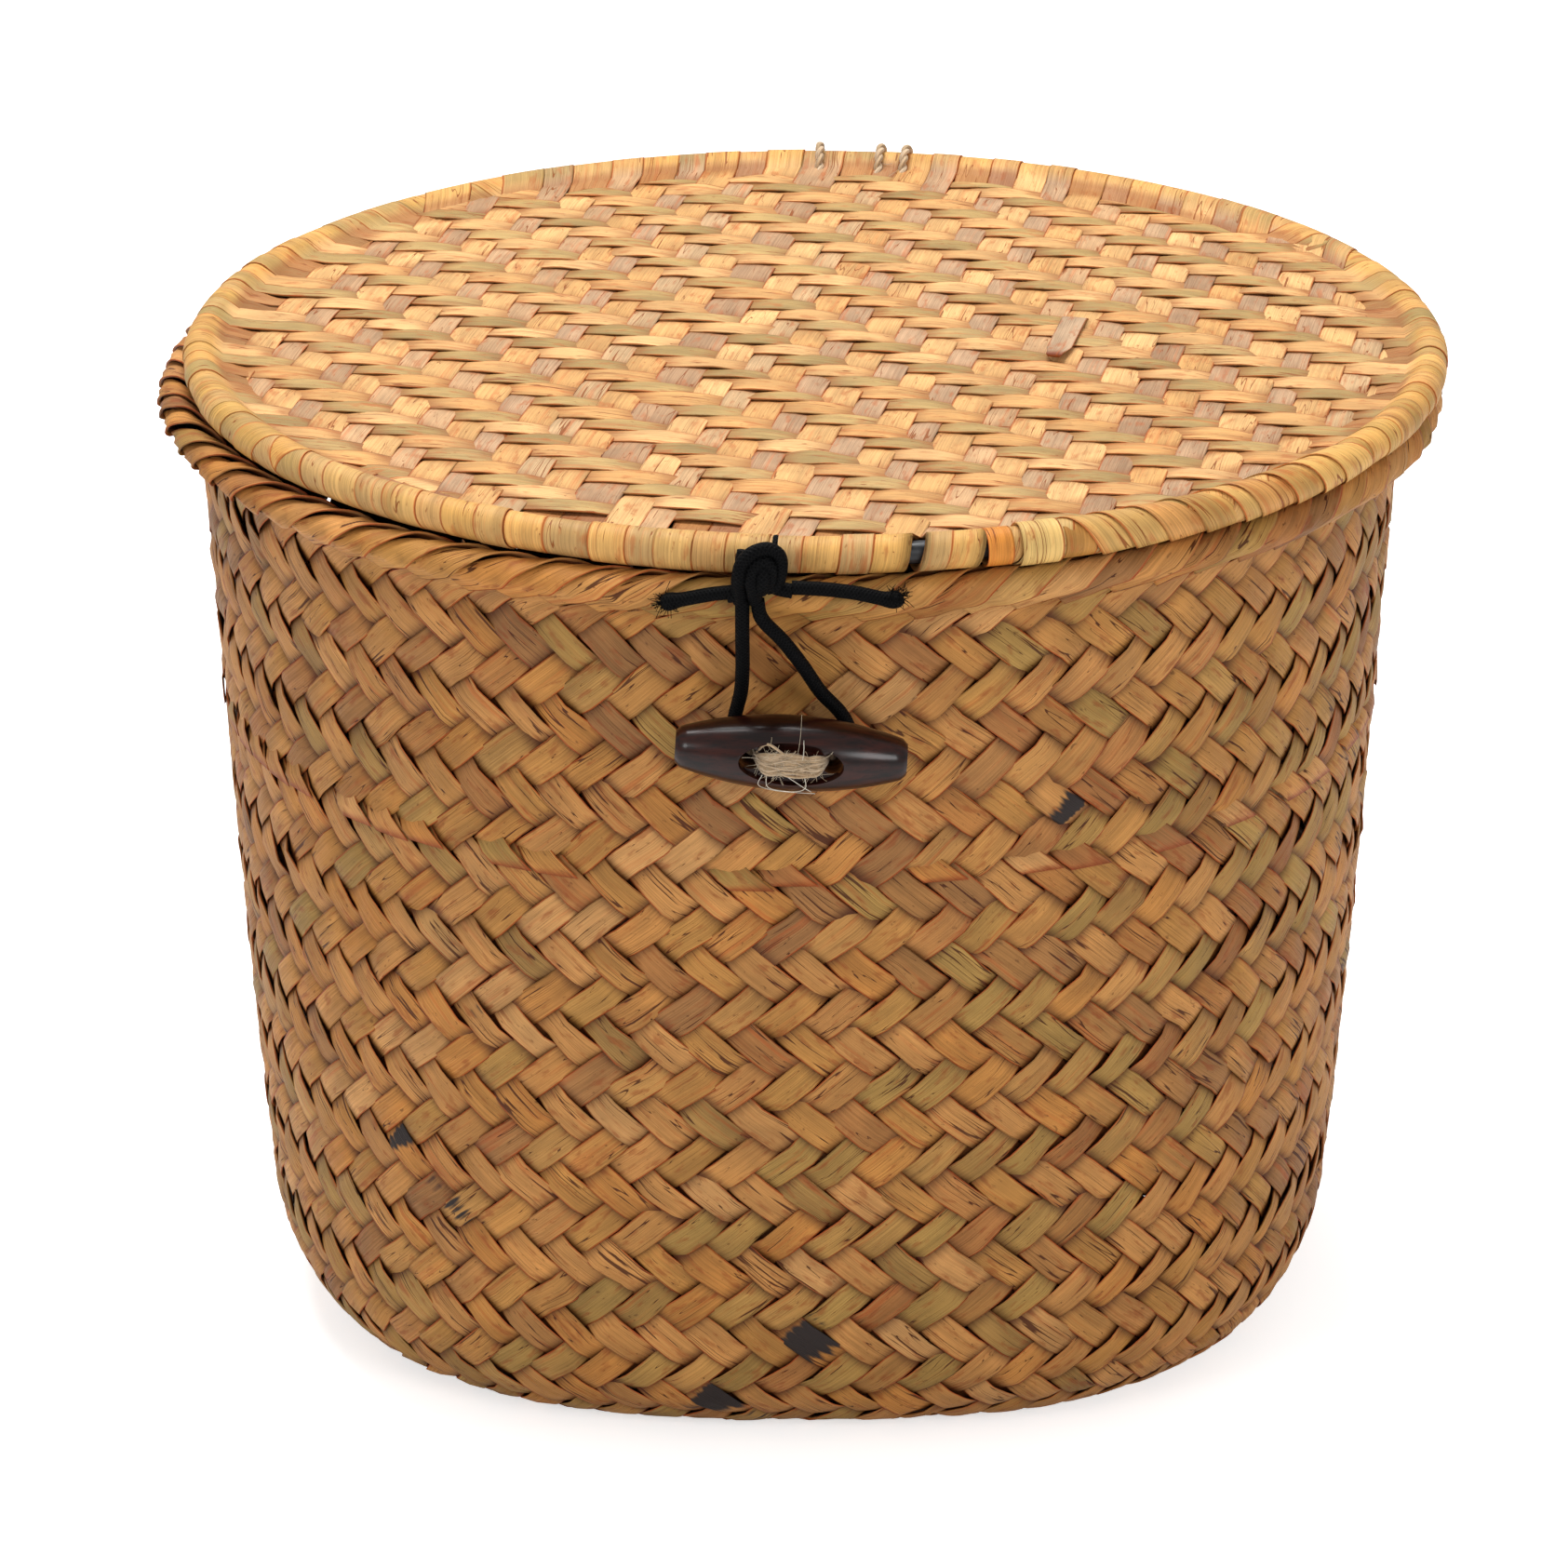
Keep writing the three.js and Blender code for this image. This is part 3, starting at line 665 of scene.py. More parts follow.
def coated_finish(name):
    """Black plastic coating on wire, a little scuffed."""
    coat = Finish(name)
    fibre = coat.attribute("fibre", "Vector")
    scuffs = coat.noise(fibre, (400, 3, 1), 3)
    coat.put(coat.mixed("MIX", coat.ramp(scuffs, 0.45, 0.75), colour("#141417"), colour("#2c2c30")),
             coat.shader.inputs["Base Color"])
    coat.put(coat.ramp(scuffs, 0.3, 0.7, 0.3, 0.5), coat.shader.inputs["Roughness"])
    coat.bump(scuffs, 0.2, 0.0001)
    return coat.made


black_wire = coated_finish("black_wire")


def wire_hoop(name, middle, radius, wire_radius, body):
    turn = np.linspace(0, 2 * math.pi, hoop_steps)
    path = np.stack([middle[0] + radius * np.sin(turn), middle[1] - radius * np.cos(turn),
                     middle[2] + 0 * turn], -1)
    hoop = Bundle()
    add_cord(hoop, path, wire_radius, wire_tone, hoop_sides)
    hoop.piece(f"{name}_wire", black_wire, body, "black_wire", [name])


wire_hoop("rim_hoop", (0, 0, rim_hoop_height), rim_hoop_radius, rim_wire_radius, "basket")

# The lid
# A round mat of two sets of strips at right angles, each over two and under two. The strips that
# run to the back lie flat and those that run to the sides arch over them. Their ends turn over a
# black coated wire hoop and are tucked in under the mat's edge.
mat_turn = math.radians(11.5)
long_pitch = 0.0061
cross_pitch = 0.0055
wide_strip_place = -0.0182
wide_strip_width = 0.0084
pitch_variety = 0.16
mat_inset = 0.0042
long_middle = -0.00015
long_rise = 0.00038
long_crown = 0.00012
cross_middle = 0.0001
cross_rise = 0.0004
cross_crown = 0.0002
lid_strip_thickness = 0.0007
lens_share = 0.26
long_fill_share = 1.02
cross_fill_share = 1.12
long_uneven_share = 0.12
cross_uneven_share = -0.05
mat_fade = 0.005
mat_outermost_share = 0.985
mat_steps_per_strip = 4
mat_least_steps = 10
mat_least_tones = 4
mat_edge_margin = 0.0001
mat_beat_jitter = 0.04
mat_strip_tilt = 0.00012
mat_tuck_reach = 0.001
mat_dryness = (0.25, 0.85)
long_flatness = 1.6
lid_tone_variety = 0.14
wrap_roll = 0.0029
wrap_start_height = 0.0007
wrap_end_height = -0.0019
tuck_height = -0.0012
wrap_turn = math.radians(125)
wrap_side_angle = math.radians(48)
wrap_overlap = math.radians(6.5)
wrap_lean_share = 0.6
wrap_rows = 16
wrap_jitter = (-0.00009, 0.00027)
wrap_tint_share = 0.65
bare_places = [0.0414, 0.0535]
bare_width = 0.0021
mending_wraps = [
    (15.3, 0.0046, 0.0002, "#cf8436"),
    (18.9, 0.0074, 0.0008, "#d9b26c"),
    (22.4, 0.006, 0.0003, "#b07c3c"),
]
winding_start, winding_end = 25.5, 54.0
winding_count = 9
winding_width = 0.0102
winding_run = 0.015
winding_stand = 0.0004
winding_tilt = 0.0003
winding_uneven = 0.012
winding_dryness = 1.1
winding_shade = 0.9
winding_highlight = 0.2
winding_tones = [colour(c) for c in ("#c69a58", "#d3a45c", "#b98c4c", "#c99050")]
stray_place = 0.047
stray_start, stray_end = 0.0255, -0.0054
stray_half_width = 0.0024
stray_height = 0.0013
stray_sink = 0.0006
stray_curl = 0.0008
stray_taper = 0.35
stray_steps = 24
stray_rise_share = 0.2
stray_tip_share = 0.25
stray_brown_share = 0.125
stray_thinning = 0.3
stray_tone = np.array(colour("#b89878"))
stray_tip_tone = np.array(colour("#8c4a30"))
stray_dryness = 0.2

lid_hoop_low, lid_hoop_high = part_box("lid_hoop")
lid_wire_radius = (lid_hoop_high.z - lid_hoop_low.z) / 2
lid_hoop_radius = (lid_hoop_high.x - lid_hoop_low.x) / 2 - lid_wire_radius
lid_middle = np.array([(a + b) / 2 for a, b in zip(lid_hoop_low, lid_hoop_high)])
mat_radius = lid_hoop_radius - mat_inset

wire_hoop("lid_hoop", lid_middle, lid_hoop_radius, lid_wire_radius, "lid")


def laid_strips(pitch, uneven_share, wide_place=None):
    """The middles and widths of strips laid side by side across the mat, every other one wider."""
    count = int(2 * mat_radius / pitch) + 2
    uneven = uneven_share * (-1.0) ** np.arange(count)
    widths = pitch * (1 + uneven + pitch_variety * (draw.random(count) - 0.5))
    if wide_place is not None:
        middles = np.cumsum(widths) - widths / 2 - widths.sum() / 2
        widths[np.argmin(np.abs(middles - wide_place))] = wide_strip_width
    middles = np.cumsum(widths) - widths / 2 - widths.sum() / 2
    inside = np.abs(middles) < mat_radius * mat_outermost_share
    inside[0] = False
    first = np.argmax(inside)
    inside[first] = first % 2 == 0
    return middles[inside], widths[inside]


long_places, long_widths = laid_strips(long_pitch, long_uneven_share, wide_strip_place)
cross_places, cross_widths = laid_strips(cross_pitch, cross_uneven_share)
long_borders = long_places + long_widths / 2
bare_borders = [long_borders[np.argmin(np.abs(long_borders - place))] for place in bare_places]

wrap_angle = np.linspace(wrap_turn, -wrap_turn, wrap_rows)
wrap_radius = lid_hoop_radius + wrap_roll * np.cos(wrap_angle)
wrap_radius = np.concatenate([[mat_radius], wrap_radius, [mat_radius]])
wrap_height = np.concatenate([[wrap_start_height], wrap_roll * np.sin(wrap_angle), [wrap_end_height]])
wrap_run = run_along(wrap_radius, wrap_height)
wrap_out = np.concatenate([[0], np.cos(wrap_angle), [0]])
wrap_up = np.concatenate([[1], np.sin(wrap_angle), [-1]])


def smooth(value):
    value = np.clip(value, 0, 1)
    return value * value * (3 - 2 * value)


def onto_lid(points, sideways):
    """Points given across and along a strip of the mat, put where they are on the closed lid."""
    lateral, along, height = np.moveaxis(points, -1, 0)
    east, north = (along, lateral) if sideways else (lateral, along)
    turned_east = east * math.cos(mat_turn) + north * math.sin(mat_turn)
    turned_north = north * math.cos(mat_turn) - east * math.sin(mat_turn)
    return lid_middle + np.stack([turned_east, turned_north, height], -1)


def mat_strip(bundle, sideways, number):
    """One strip of the lid, from its end under the mat over the hoop, across and over the hoop again."""
    if sideways:
        place, width, others, order = cross_places[number], cross_widths[number], long_places, 1
        half = width / 2 * cross_fill_share
        limit = math.cos(wrap_side_angle - wrap_overlap)
    else:
        place, width, others, order = long_places[number], long_widths[number], cross_places, -1
        half = width / 2 * long_fill_share
        limit = math.sin(wrap_side_angle + wrap_overlap)
    wraps = abs(place) < mat_radius * limit
    reach = math.sqrt(max(mat_radius ** 2 - place ** 2, 0))
    steps = max(mat_least_steps, int(mat_steps_per_strip * reach * 2 / long_pitch))
    beat_shift = mat_beat_jitter * draw.standard_normal(2)[0]
    rolls = drawn_between(wrap_jitter, 2)
    tilts = mat_strip_tilt * draw.standard_normal(steps // mat_steps_per_strip + 2)
    tilt = spread_over(tilts, steps)

    def surface(shares):
        widest = mat_radius - mat_edge_margin
        lateral = np.clip(place + order * half * shares, -widest, widest)
        chord = np.sqrt(mat_radius ** 2 - lateral ** 2)
        along = np.linspace(-1, 1, steps)[:, None] * (chord[None, :] + (0 if wraps else mat_tuck_reach))
        beat = np.interp(along, others, np.arange(len(others))) + number - 0.5 + beat_shift
        wave = np.cos(math.pi / 2 * beat)
        if sideways:
            height = cross_middle + cross_rise * wave
            height = height + cross_crown * (1 - shares ** 2)[None, :] * (0.5 + 0.5 * wave)
        else:
            wave = -wave
            height = long_middle + long_rise * np.tanh(long_flatness * wave) / math.tanh(long_flatness)
            height = height + long_crown * (1 - shares ** 2)[None, :]
        height = height + tilt[:, None] * shares[None, :]
        fade = smooth((np.hypot(along, lateral[None, :]) - mat_radius + mat_fade) / mat_fade)
        height = height * (1 - fade) + (wrap_start_height if wraps else tuck_height) * fade
        lens = 1 - lens_share * (0.5 - 0.5 * wave) * (1 - fade) * sideways
        sideward = place + (lateral - place)[None, :] * lens
        rows = [np.stack([sideward, along, height], -1)]
        ways = [np.broadcast_to((0.0, 0.0, 1.0), rows[0].shape)]
        for end, roll in zip((-1, 1), rolls):
            if not wraps:
                continue
            lean = wrap_lean_share * lateral / chord / lid_hoop_radius
            covered = lateral
            for border in bare_borders if end < 0 and not sideways else []:
                beside = border + math.copysign(bare_width / 2, place - border)
                covered = np.where(np.abs(lateral - border) < bare_width / 2, beside, covered)
            angle = np.arcsin(covered / mat_radius)[None, :] - wrap_run[1:, None] * lean[None, :]
            radius = (wrap_radius[1:] + roll * wrap_out[1:])[:, None]
            level = (wrap_height[1:] + roll * wrap_up[1:])[:, None] + 0 * angle
            point = np.stack([radius * np.sin(angle), end * radius * np.cos(angle), level], -1)
            way = np.stack([wrap_out[1:, None] * np.sin(angle), end * wrap_out[1:, None] * np.cos(angle),
                            wrap_up[1:, None] + 0 * angle], -1)
            if end < 0:
                rows.insert(0, point[::-1])
                ways.insert(0, way[::-1])
            else:
                rows.append(point)
                ways.append(way)
        return np.concatenate(rows), np.concatenate(ways), wave[:, len(shares) // 2]

    middle, ways, wave = surface(across_shares)
    lower, lower_ways, _ = surface(under_shares)
    thick = lid_strip_thickness / 2
    top = onto_lid(middle + ways * thick, sideways)
    below = onto_lid(lower - lower_ways * thick, sideways)
    rows = len(top)
    tucked = (rows - steps) // 2
    # Painted shade: the depth follows the weave, so each strip is painted darker where it dips under the
    # strips across it, and its turned ends are not shaded.
    depth = np.concatenate([np.full(tucked, top_depth), wave, np.full(tucked, top_depth)])
    palette, shares = lid_palettes[2 * sideways + number % 2]
    tone_count = max(mat_least_tones, steps // mat_steps_per_strip)
    tones = strip_tones(tone_count, palette, shares, lid_tone_variety)
    tone = spread_over(tones, rows)
    for turned in (slice(0, tucked), slice(rows - tucked, rows)):
        tint = np.array(wrap_tones[draw.integers(len(wrap_tones))])
        tone[turned] = tone[turned] + (tint - tone[turned]) * wrap_tint_share
    dryness = np.full(rows, drawn_between(mat_dryness))
    wear = np.stack([depth, np.zeros(rows), dryness], -1)
    bundle.add(top, below, tone, run_along(*middle[:, 2].T), ring_shares, wear)


def edge_winding(bundle, angle, width, stand, tone, run=0.0, tilt=0.0):
    """A strip turned over the hoop from above the mat's edge to below it, straight or on the slant."""
    share = (wrap_run - wrap_run[0]) / (wrap_run[-1] - wrap_run[0])
    fullness = 1 - np.abs(share - 0.5)

    def surface(shares):
        across = (width / 2 * shares[None, :] + run * (share[:, None] - 0.5)) / lid_hoop_radius
        place = math.radians(angle) + across
        level = stand * fullness[:, None] - tilt * shares[None, :]
        radius = wrap_radius[:, None] + level * wrap_out[:, None]
        height = wrap_height[:, None] + level * wrap_up[:, None]
        point = np.stack([radius * np.sin(place), -radius * np.cos(place), height], -1)
        way = np.stack([wrap_out[:, None] * np.sin(place), -wrap_out[:, None] * np.cos(place),
                        wrap_up[:, None] + 0 * place], -1)
        return point, way

    middle, ways = surface(across_shares)
    lower, lower_ways = surface(under_shares)
    thick = lid_strip_thickness / 2
    # Painted highlight: the tone is lighter in the middle, where the strip rounds the outside of the
    # hoop, than at its two ends.
    tones = np.array(tone) * (winding_shade + winding_highlight * fullness[:, None])
    wear = (top_depth, 0.0, winding_dryness * draw.random())
    top = lid_middle + middle + ways * thick
    below = lid_middle + lower - lower_ways * thick
    bundle.add(top, below, tones, wrap_run, ring_shares, wear)


def stray_end_of_strip(bundle):
    """The end of a strip that was laid in to mend the mat: it lies loose on top, its tip browned."""
    share = np.linspace(0, 1, stray_steps)
    along = stray_start + (stray_end - stray_start) * share
    tip = smooth(1 - (1 - share) / stray_tip_share)
    narrowing = 1 - stray_taper * tip
    climb = smooth(share / stray_rise_share)
    height = -stray_sink + (stray_height + stray_sink) * climb + stray_curl * tip
    rows = []
    for shares, side in ((across_shares, 0.5), (under_shares, -0.5)):
        lateral = stray_place + stray_half_width * narrowing[:, None] * shares[None, :]
        thick = lid_strip_thickness * (1 - stray_thinning * shares[None, :] ** 2)
        level = height[:, None] + side * thick
        rows.append(onto_lid(np.stack([lateral, along[:, None] + 0 * lateral, level], -1), False))
    brown = smooth(1 - (1 - share) / stray_brown_share)[:, None]
    tone = stray_tone * (1 - brown) + stray_tip_tone * brown
    bundle.add(*rows, tone, run_along(along), ring_shares, (top_depth, 0.0, stray_dryness))


yellow = [colour(c) for c in ("#d9a86c", "#e6b578", "#d29d5e", "#cf9c60")]
mauve = [colour(c) for c in ("#bc9774", "#ad8866", "#cca276", "#c8a478")]
olive = [colour(c) for c in ("#b2925a", "#bd9c62", "#a28550", "#c6a36a")]
wrap_tones = [colour(c) for c in ("#dda855", "#d09c4c", "#c69c58", "#a88c50", "#d49e50")]
even_shares = [0.35, 0.25, 0.2, 0.2]
lid_palettes = [(yellow, even_shares), (mauve, even_shares), (olive, even_shares), (yellow, even_shares)]
# The split colour is also the colour of the painted shade in the dips and under the strips, and the last
# argument sets how strong that painted shade is, weaker than on the body.
lid_straw = straw_finish("lid_straw", edge_colour=colour("#c8642a"), split_and_shade_colour=colour("#8a4818"),
                         roughness=0.5, crack_width=0.014, dip_shade_and_dirt=0.6)

for sideways, name in enumerate(("lid_strips_to_back", "lid_strips_to_sides")):
    mat = Bundle()
    for number in range(len(cross_places if sideways else long_places)):
        mat_strip(mat, sideways, number)
    if not sideways:
        stray_end_of_strip(mat)
        for angle, width, stand, tone in mending_wraps:
            edge_winding(mat, angle, width, stand, colour(tone))
        for angle in np.linspace(winding_start, winding_end, winding_count):
            angle = angle * (1 + winding_uneven * draw.standard_normal())
            tone = winding_tones[draw.integers(len(winding_tones))]
            edge_winding(mat, angle, winding_width, winding_stand, tone, winding_run, winding_tilt)
    mat.piece(name, lid_straw, "lid", "lid_straw", ["lid_panel", "lid_border"])

# The hinge ties
# Three ties of two-ply jute twine go up the back, over the lid's edge, down inside and out through
# the rim, each knotted to itself outside. They are the lid's only hinge.
tie_radius = 0.00095
tie_plies = 2
tie_outer = 0.12415
tie_bend = 0.0009
tie_lean = 0.0006
tie_lean_rise = 0.0025
tie_inner_drop = 0.003
tie_fibre_count = 14
tie_fibre_length = 0.0025
fibre_radius = 0.00006
fibre_bend = 0.5
fibre_root_share = 0.8
shortest_fibre_share = 0.4
fibre_steps = 7
fibre_sides = 4
tie_curve = [math.radians(turn) for turn in (15, 45, 75, 105, 135, 165)]
ply_share = 0.56
ply_turns_per_metre = 220
ply_sides = 8
cord_step = 0.0004
corner_steps = 7
knot_steps = 90


def rounded_path(corners, bend):
    """Straight runs between corners, each corner rounded, in even short steps."""
    corners = [np.array(corner, float) for corner in corners]
    points = [corners[0]]
    for back, corner, ahead in zip(corners, corners[1:], corners[2:]):
        start = corner + (back - corner) / np.linalg.norm(back - corner) * bend
        end = corner + (ahead - corner) / np.linalg.norm(ahead - corner) * bend
        for share in np.linspace(0, 1, corner_steps):
            points.append(start * (1 - share) ** 2 + corner * 2 * share * (1 - share) + end * share ** 2)
    points.append(corners[-1])
    return evenly(np.array(points), cord_step)


def evenly(path, step):
    run = run_along(*path.T)
    places = np.linspace(0, run[-1], max(3, int(run[-1] / step)))
    return np.stack([np.interp(places, run, part) for part in path.T], -1)


def add_twine(bundle, path, radius, plies, tones):
    """Twisted twine: plies that wind round each other along a path."""
    side, other = sides_of_path(path)
    run = run_along(*path.T)
    ply = radius * ply_share
    for number in range(plies):
        turn = 2 * math.pi * (run * ply_turns_per_metre + number / plies)
        shift = np.cos(turn)[:, None] * side + np.sin(turn)[:, None] * other
        add_cord(bundle, path + shift * (radius - ply), ply, tones[number % len(tones)], ply_sides)


def add_fibres(bundle, path, count, length, reach, thickness, tone, lean=(0.0, 0.0, 0.0)):
    """Loose fibres that stand out of a cord, each a thin curved hair from somewhere on its path."""
    steps = np.linspace(0, 1, fibre_steps)[:, None]
    for _ in range(count):
        start = path[draw.integers(1, len(path) - 1)]
        way = draw.standard_normal(3) + np.array(lean)
        way = way / np.linalg.norm(way)
        bend = draw.standard_normal(3) * fibre_bend
        long = length * (shortest_fibre_share + draw.random())
        hair = start + way * reach * fibre_root_share + (way * steps + bend * steps ** 2) * long
        add_cord(bundle, hair, thickness, tone, fibre_sides)


def jute_finish(name):
    """Jute: soft beige threads that run along each ply, dull and slightly hairy."""
    jute = Finish(name)
    fibre = jute.attribute("fibre", "Vector")
    tone = jute.attribute("tone", "Color")
    threads = jute.noise(fibre, (500, 7, 5.3), 4)
    patches = jute.noise(fibre, (160, 1.5, 3.1), 2)
    shaded = jute.mixed("MULTIPLY", 1.0, tone, jute.ramp(threads, 0.3, 0.7, 0.62, 1.2))
    shaded = jute.mixed("MIX", jute.ramp(patches, 0.5, 0.75, 0, 0.5), shaded, colour("#8f6a45"))
    jute.put(shaded, jute.shader.inputs["Base Color"])
    jute.put(jute.ramp(threads, 0.3, 0.7, 0.95, 0.8), jute.shader.inputs["Roughness"])
    jute.shader.inputs["Sheen Weight"].default_value = 0.25
    jute.bump(threads, 0.7, 0.0002)
    return jute.made


jute_twine = jute_finish("jute_twine")
jute_tones = [colour("#cdb291"), colour("#bda07c")]


def knot_path(low, high, radius):
    """A simple overhand knot, flat to the wall, that fills the box between two corners."""
    turn = np.linspace(0, 2 * math.pi, knot_steps)
    loops = np.stack([np.sin(turn) + 2 * np.sin(2 * turn), -np.sin(3 * turn),
                      np.cos(turn) - 2 * np.cos(2 * turn)], -1)
    low, high = np.array(low), np.array(high)
    middle = (loops.max(0) + loops.min(0)) / 2
    half = (loops.max(0) - loops.min(0)) / 2
    return (low + high) / 2 + (loops - middle) / half * ((high - low) / 2 - radius)


for side in ("left", "middle", "right"):
    tie_low, tie_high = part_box(f"hinge_tie_{side}")
    knot_low, knot_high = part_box(f"hinge_knot_{side}")
    knot_middle = (knot_low + knot_high) / 2
    angle = math.atan2(knot_middle.x, -knot_middle.y)
    tie_top, hole_height = tie_high.z - tie_radius, tie_low.z + tie_radius
    tie_inner = (tie_low.y + tie_radius) / -math.cos(angle)
    over_edge = tie_top - lid_middle[2]
    corners = [(tie_outer, knot_high.z), (tie_outer - tie_lean, knot_high.z + tie_lean_rise)]
    for turn in tie_curve:
        out, up = over_edge * math.cos(turn), over_edge * math.sin(turn)
        corners.append((lid_hoop_radius + out, lid_middle[2] + up))
    corners.append((tie_inner, lid_middle[2] - tie_inner_drop))
    corners += [(tie_inner, hole_height), (tie_outer, hole_height), (tie_outer, knot_low.z)]
    east, south = math.sin(angle), math.cos(angle)
    corners = [(radius * east, -radius * south, height) for radius, height in corners]
    tie_path = rounded_path(corners, tie_bend)
    tie = Bundle()
    add_twine(tie, tie_path, tie_radius, tie_plies, jute_tones)
    add_fibres(tie, tie_path, tie_fibre_count, tie_fibre_length, tie_radius, fibre_radius, jute_tones[0])
    tie = tie.piece(f"twine_tie_{side}", jute_twine, None, "jute_twine", [f"hinge_tie_{side}"])
    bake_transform(tie)
    tie_knot = Bundle()
    add_twine(tie_knot, knot_path(knot_low, knot_high, tie_radius), tie_radius, tie_plies, jute_tones)
    tie_knot.piece(f"twine_tie_knot_{side}", jute_twine, "basket", "jute_twine", [f"hinge_knot_{side}"])

# The elastic
# One length of braided black elastic goes round the lid's hoop and is knotted on its front. Two legs
# hang from the knot and meet behind the toggle, and two short ends with melted tips stick out.
elastic_radius = 0.00125
elastic_start = np.array([-0.0068, -0.12, 0.182])
burnt_length = 0.0028
burnt_swell = 0.28
frayed_count = 90
frayed_length = 0.0011
frayed_lean = 0.9
tip_least_share = 0.1
swell_reach = 1.5
curve_steps = 12
leg_sides = 16
knot_sides = 14
turn_sides = 12
turn_roll = 0.0026
turn_spread = 0.0021
turn_cord_radius = 0.0008
turn_sweep = np.linspace(math.radians(10), math.radians(350), 60)
knot_cord_radius = 0.0013
knot_strands = [
    [(-0.0034, 0.0004, -0.0056), (-0.0036, -0.0016, -0.0024), (-0.0036, -0.0029, 0),
     (-0.003, -0.003, 0.0024), (-0.0012, -0.0028, 0.0043), (0.0014, -0.0022, 0.0048),
     (0.0033, -0.0018, 0.0034), (0.0035, -0.0014, 0.0004), (0.0027, -0.0009, -0.002),
     (0.0012, -0.0006, -0.0028)],
    [(-0.0008, 0.0004, -0.0056), (-0.0011, -0.002, -0.0026), (-0.0015, -0.003, -0.0004),
     (-0.0009, -0.0031, 0.0018), (0.0006, -0.0029, 0.0028), (0.0017, -0.0026, 0.0016),
     (0.0016, -0.0022, -0.0006), (0.0007, -0.0016, -0.0024), (-0.0006, -0.0006, -0.0026)],
    [(-0.0056, -0.0002, -0.0044), (-0.0034, -0.0002, -0.004), (-0.0012, 0.0004, -0.003),
     (0.0012, 0.0004, -0.0026), (0.0034, 0, -0.0032), (0.0056, -0.0004, -0.0035)],
    [(0.0001, -0.0014, -0.003), (0.0004, -0.0029, -0.0012), (0.0005, -0.0032, 0.0008),
     (0.0002, -0.0022, 0.0026)],
    [(-0.0026, 0.0004, 0.0036), (-0.0029, 0, 0.0014), (-0.0012, -0.0006, -0.0004),
     (0.0012, -0.0006, -0.0002), (0.0026, 0.0002, 0.0016), (0.0016, 0.0004, 0.004)],
]
loop_route = [
    (-0.0034, -0.004, -0.0021), (-0.0034, -0.004, -0.0056), (-0.0034, -0.0029, -0.01),
    (-0.0034, -0.0012, -0.0155), (-0.0037, 0.0009, -0.021), (-0.0047, 0.0029, -0.026),
    (-0.0054, 0.0038, -0.0305), (-0.0041, 0.004, -0.0349), (-0.0006, 0.004, -0.0375),
    (0.005, 0.004, -0.0382), (0.0106, 0.004, -0.0375), (0.0141, 0.004, -0.0349),
    (0.0154, 0.0038, -0.0305), (0.0138, 0.0029, -0.026), (0.0101, 0.0009, -0.021),
    (0.0071, -0.0012, -0.0155), (0.0037, -0.0029, -0.0102), (0.0, -0.004, -0.0056),
    (-0.0008, -0.004, -0.0021),
]
tail_routes = {
    "left": [(-0.0052, -0.0042, -0.0006), (-0.0087, -0.0039, -0.0011), (-0.0132, -0.003, -0.0023),
             (-0.0174, -0.0019, -0.0035)],
    "right": [(0.0051, -0.0044, 0.0003), (0.0108, -0.0044, 0), (0.0164, -0.004, -0.0009),
              (0.0222, -0.0032, -0.0024), (0.024, -0.0032, -0.0014)],
}


def smooth_path(points):
    """A smooth curve through all the points, in even short steps."""
    points = np.array(points, float)
    wide = np.concatenate([2 * points[:1] - points[1:2], points, 2 * points[-1:] - points[-2:-1]])
    pieces = []
    for i in range(1, len(wide) - 2):
        share = np.linspace(0, 1, curve_steps, endpoint=False)[:, None]
        before, here, after, later = wide[i - 1:i + 3]
        pieces.append(0.5 * (2 * here + (after - before) * share
                             + (2 * before - 5 * here + 4 * after - later) * share ** 2
                             + (3 * here - before - 3 * after + later) * share ** 3))
    return evenly(np.concatenate(pieces + [points[-1:]]), cord_step)


def elastic_finish(name):
    """Black elastic: fine braided ribs that cross over the cord, dull with a faint sheen."""
    braid = Finish(name)
    run, around, _ = braid.parts(braid.attribute("fibre", "Vector"))
    length = braid.sum_of("MULTIPLY", run, 9500)
    turn = braid.sum_of("MULTIPLY", around, 8 * math.pi)
    one = braid.sum_of("SINE", braid.sum_of("ADD", length, turn))
    other = braid.sum_of("SINE", braid.sum_of("SUBTRACT", length, turn))
    ribs = braid.ramp(braid.sum_of("MAXIMUM", one, other), -0.4, 1.0)
    lint = braid.noise(braid.attribute("fibre", "Vector"), (900, 6, 3), 3)
    tone = braid.mixed("MIX", ribs, colour("#010102"), colour("#0a0a0b"))
    tone = braid.mixed("MIX", braid.ramp(lint, 0.62, 0.8, 0, 0.3), tone, colour("#202023"))
    braid.put(tone, braid.shader.inputs["Base Color"])
    braid.put(braid.ramp(lint, 0.3, 0.7, 0.7, 0.55), braid.shader.inputs["Roughness"])
    braid.shader.inputs["Specular IOR Level"].default_value = 0.07
    braid.bump(ribs, 1.0, 0.0002)
    return braid.made


black_elastic = elastic_finish("black_elastic")
black = colour("#151517")

lump_low, lump_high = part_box("elastic_knot")
lump_middle = (lump_low + lump_high) / 2
loop_path = smooth_path(loop_route) + elastic_start
loop = Bundle()
add_cord(loop, loop_path, elastic_radius, black, leg_sides)
loop = loop.piece("elastic_legs", black_elastic, None, "black_elastic", ["elastic_loop"])
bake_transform(loop)

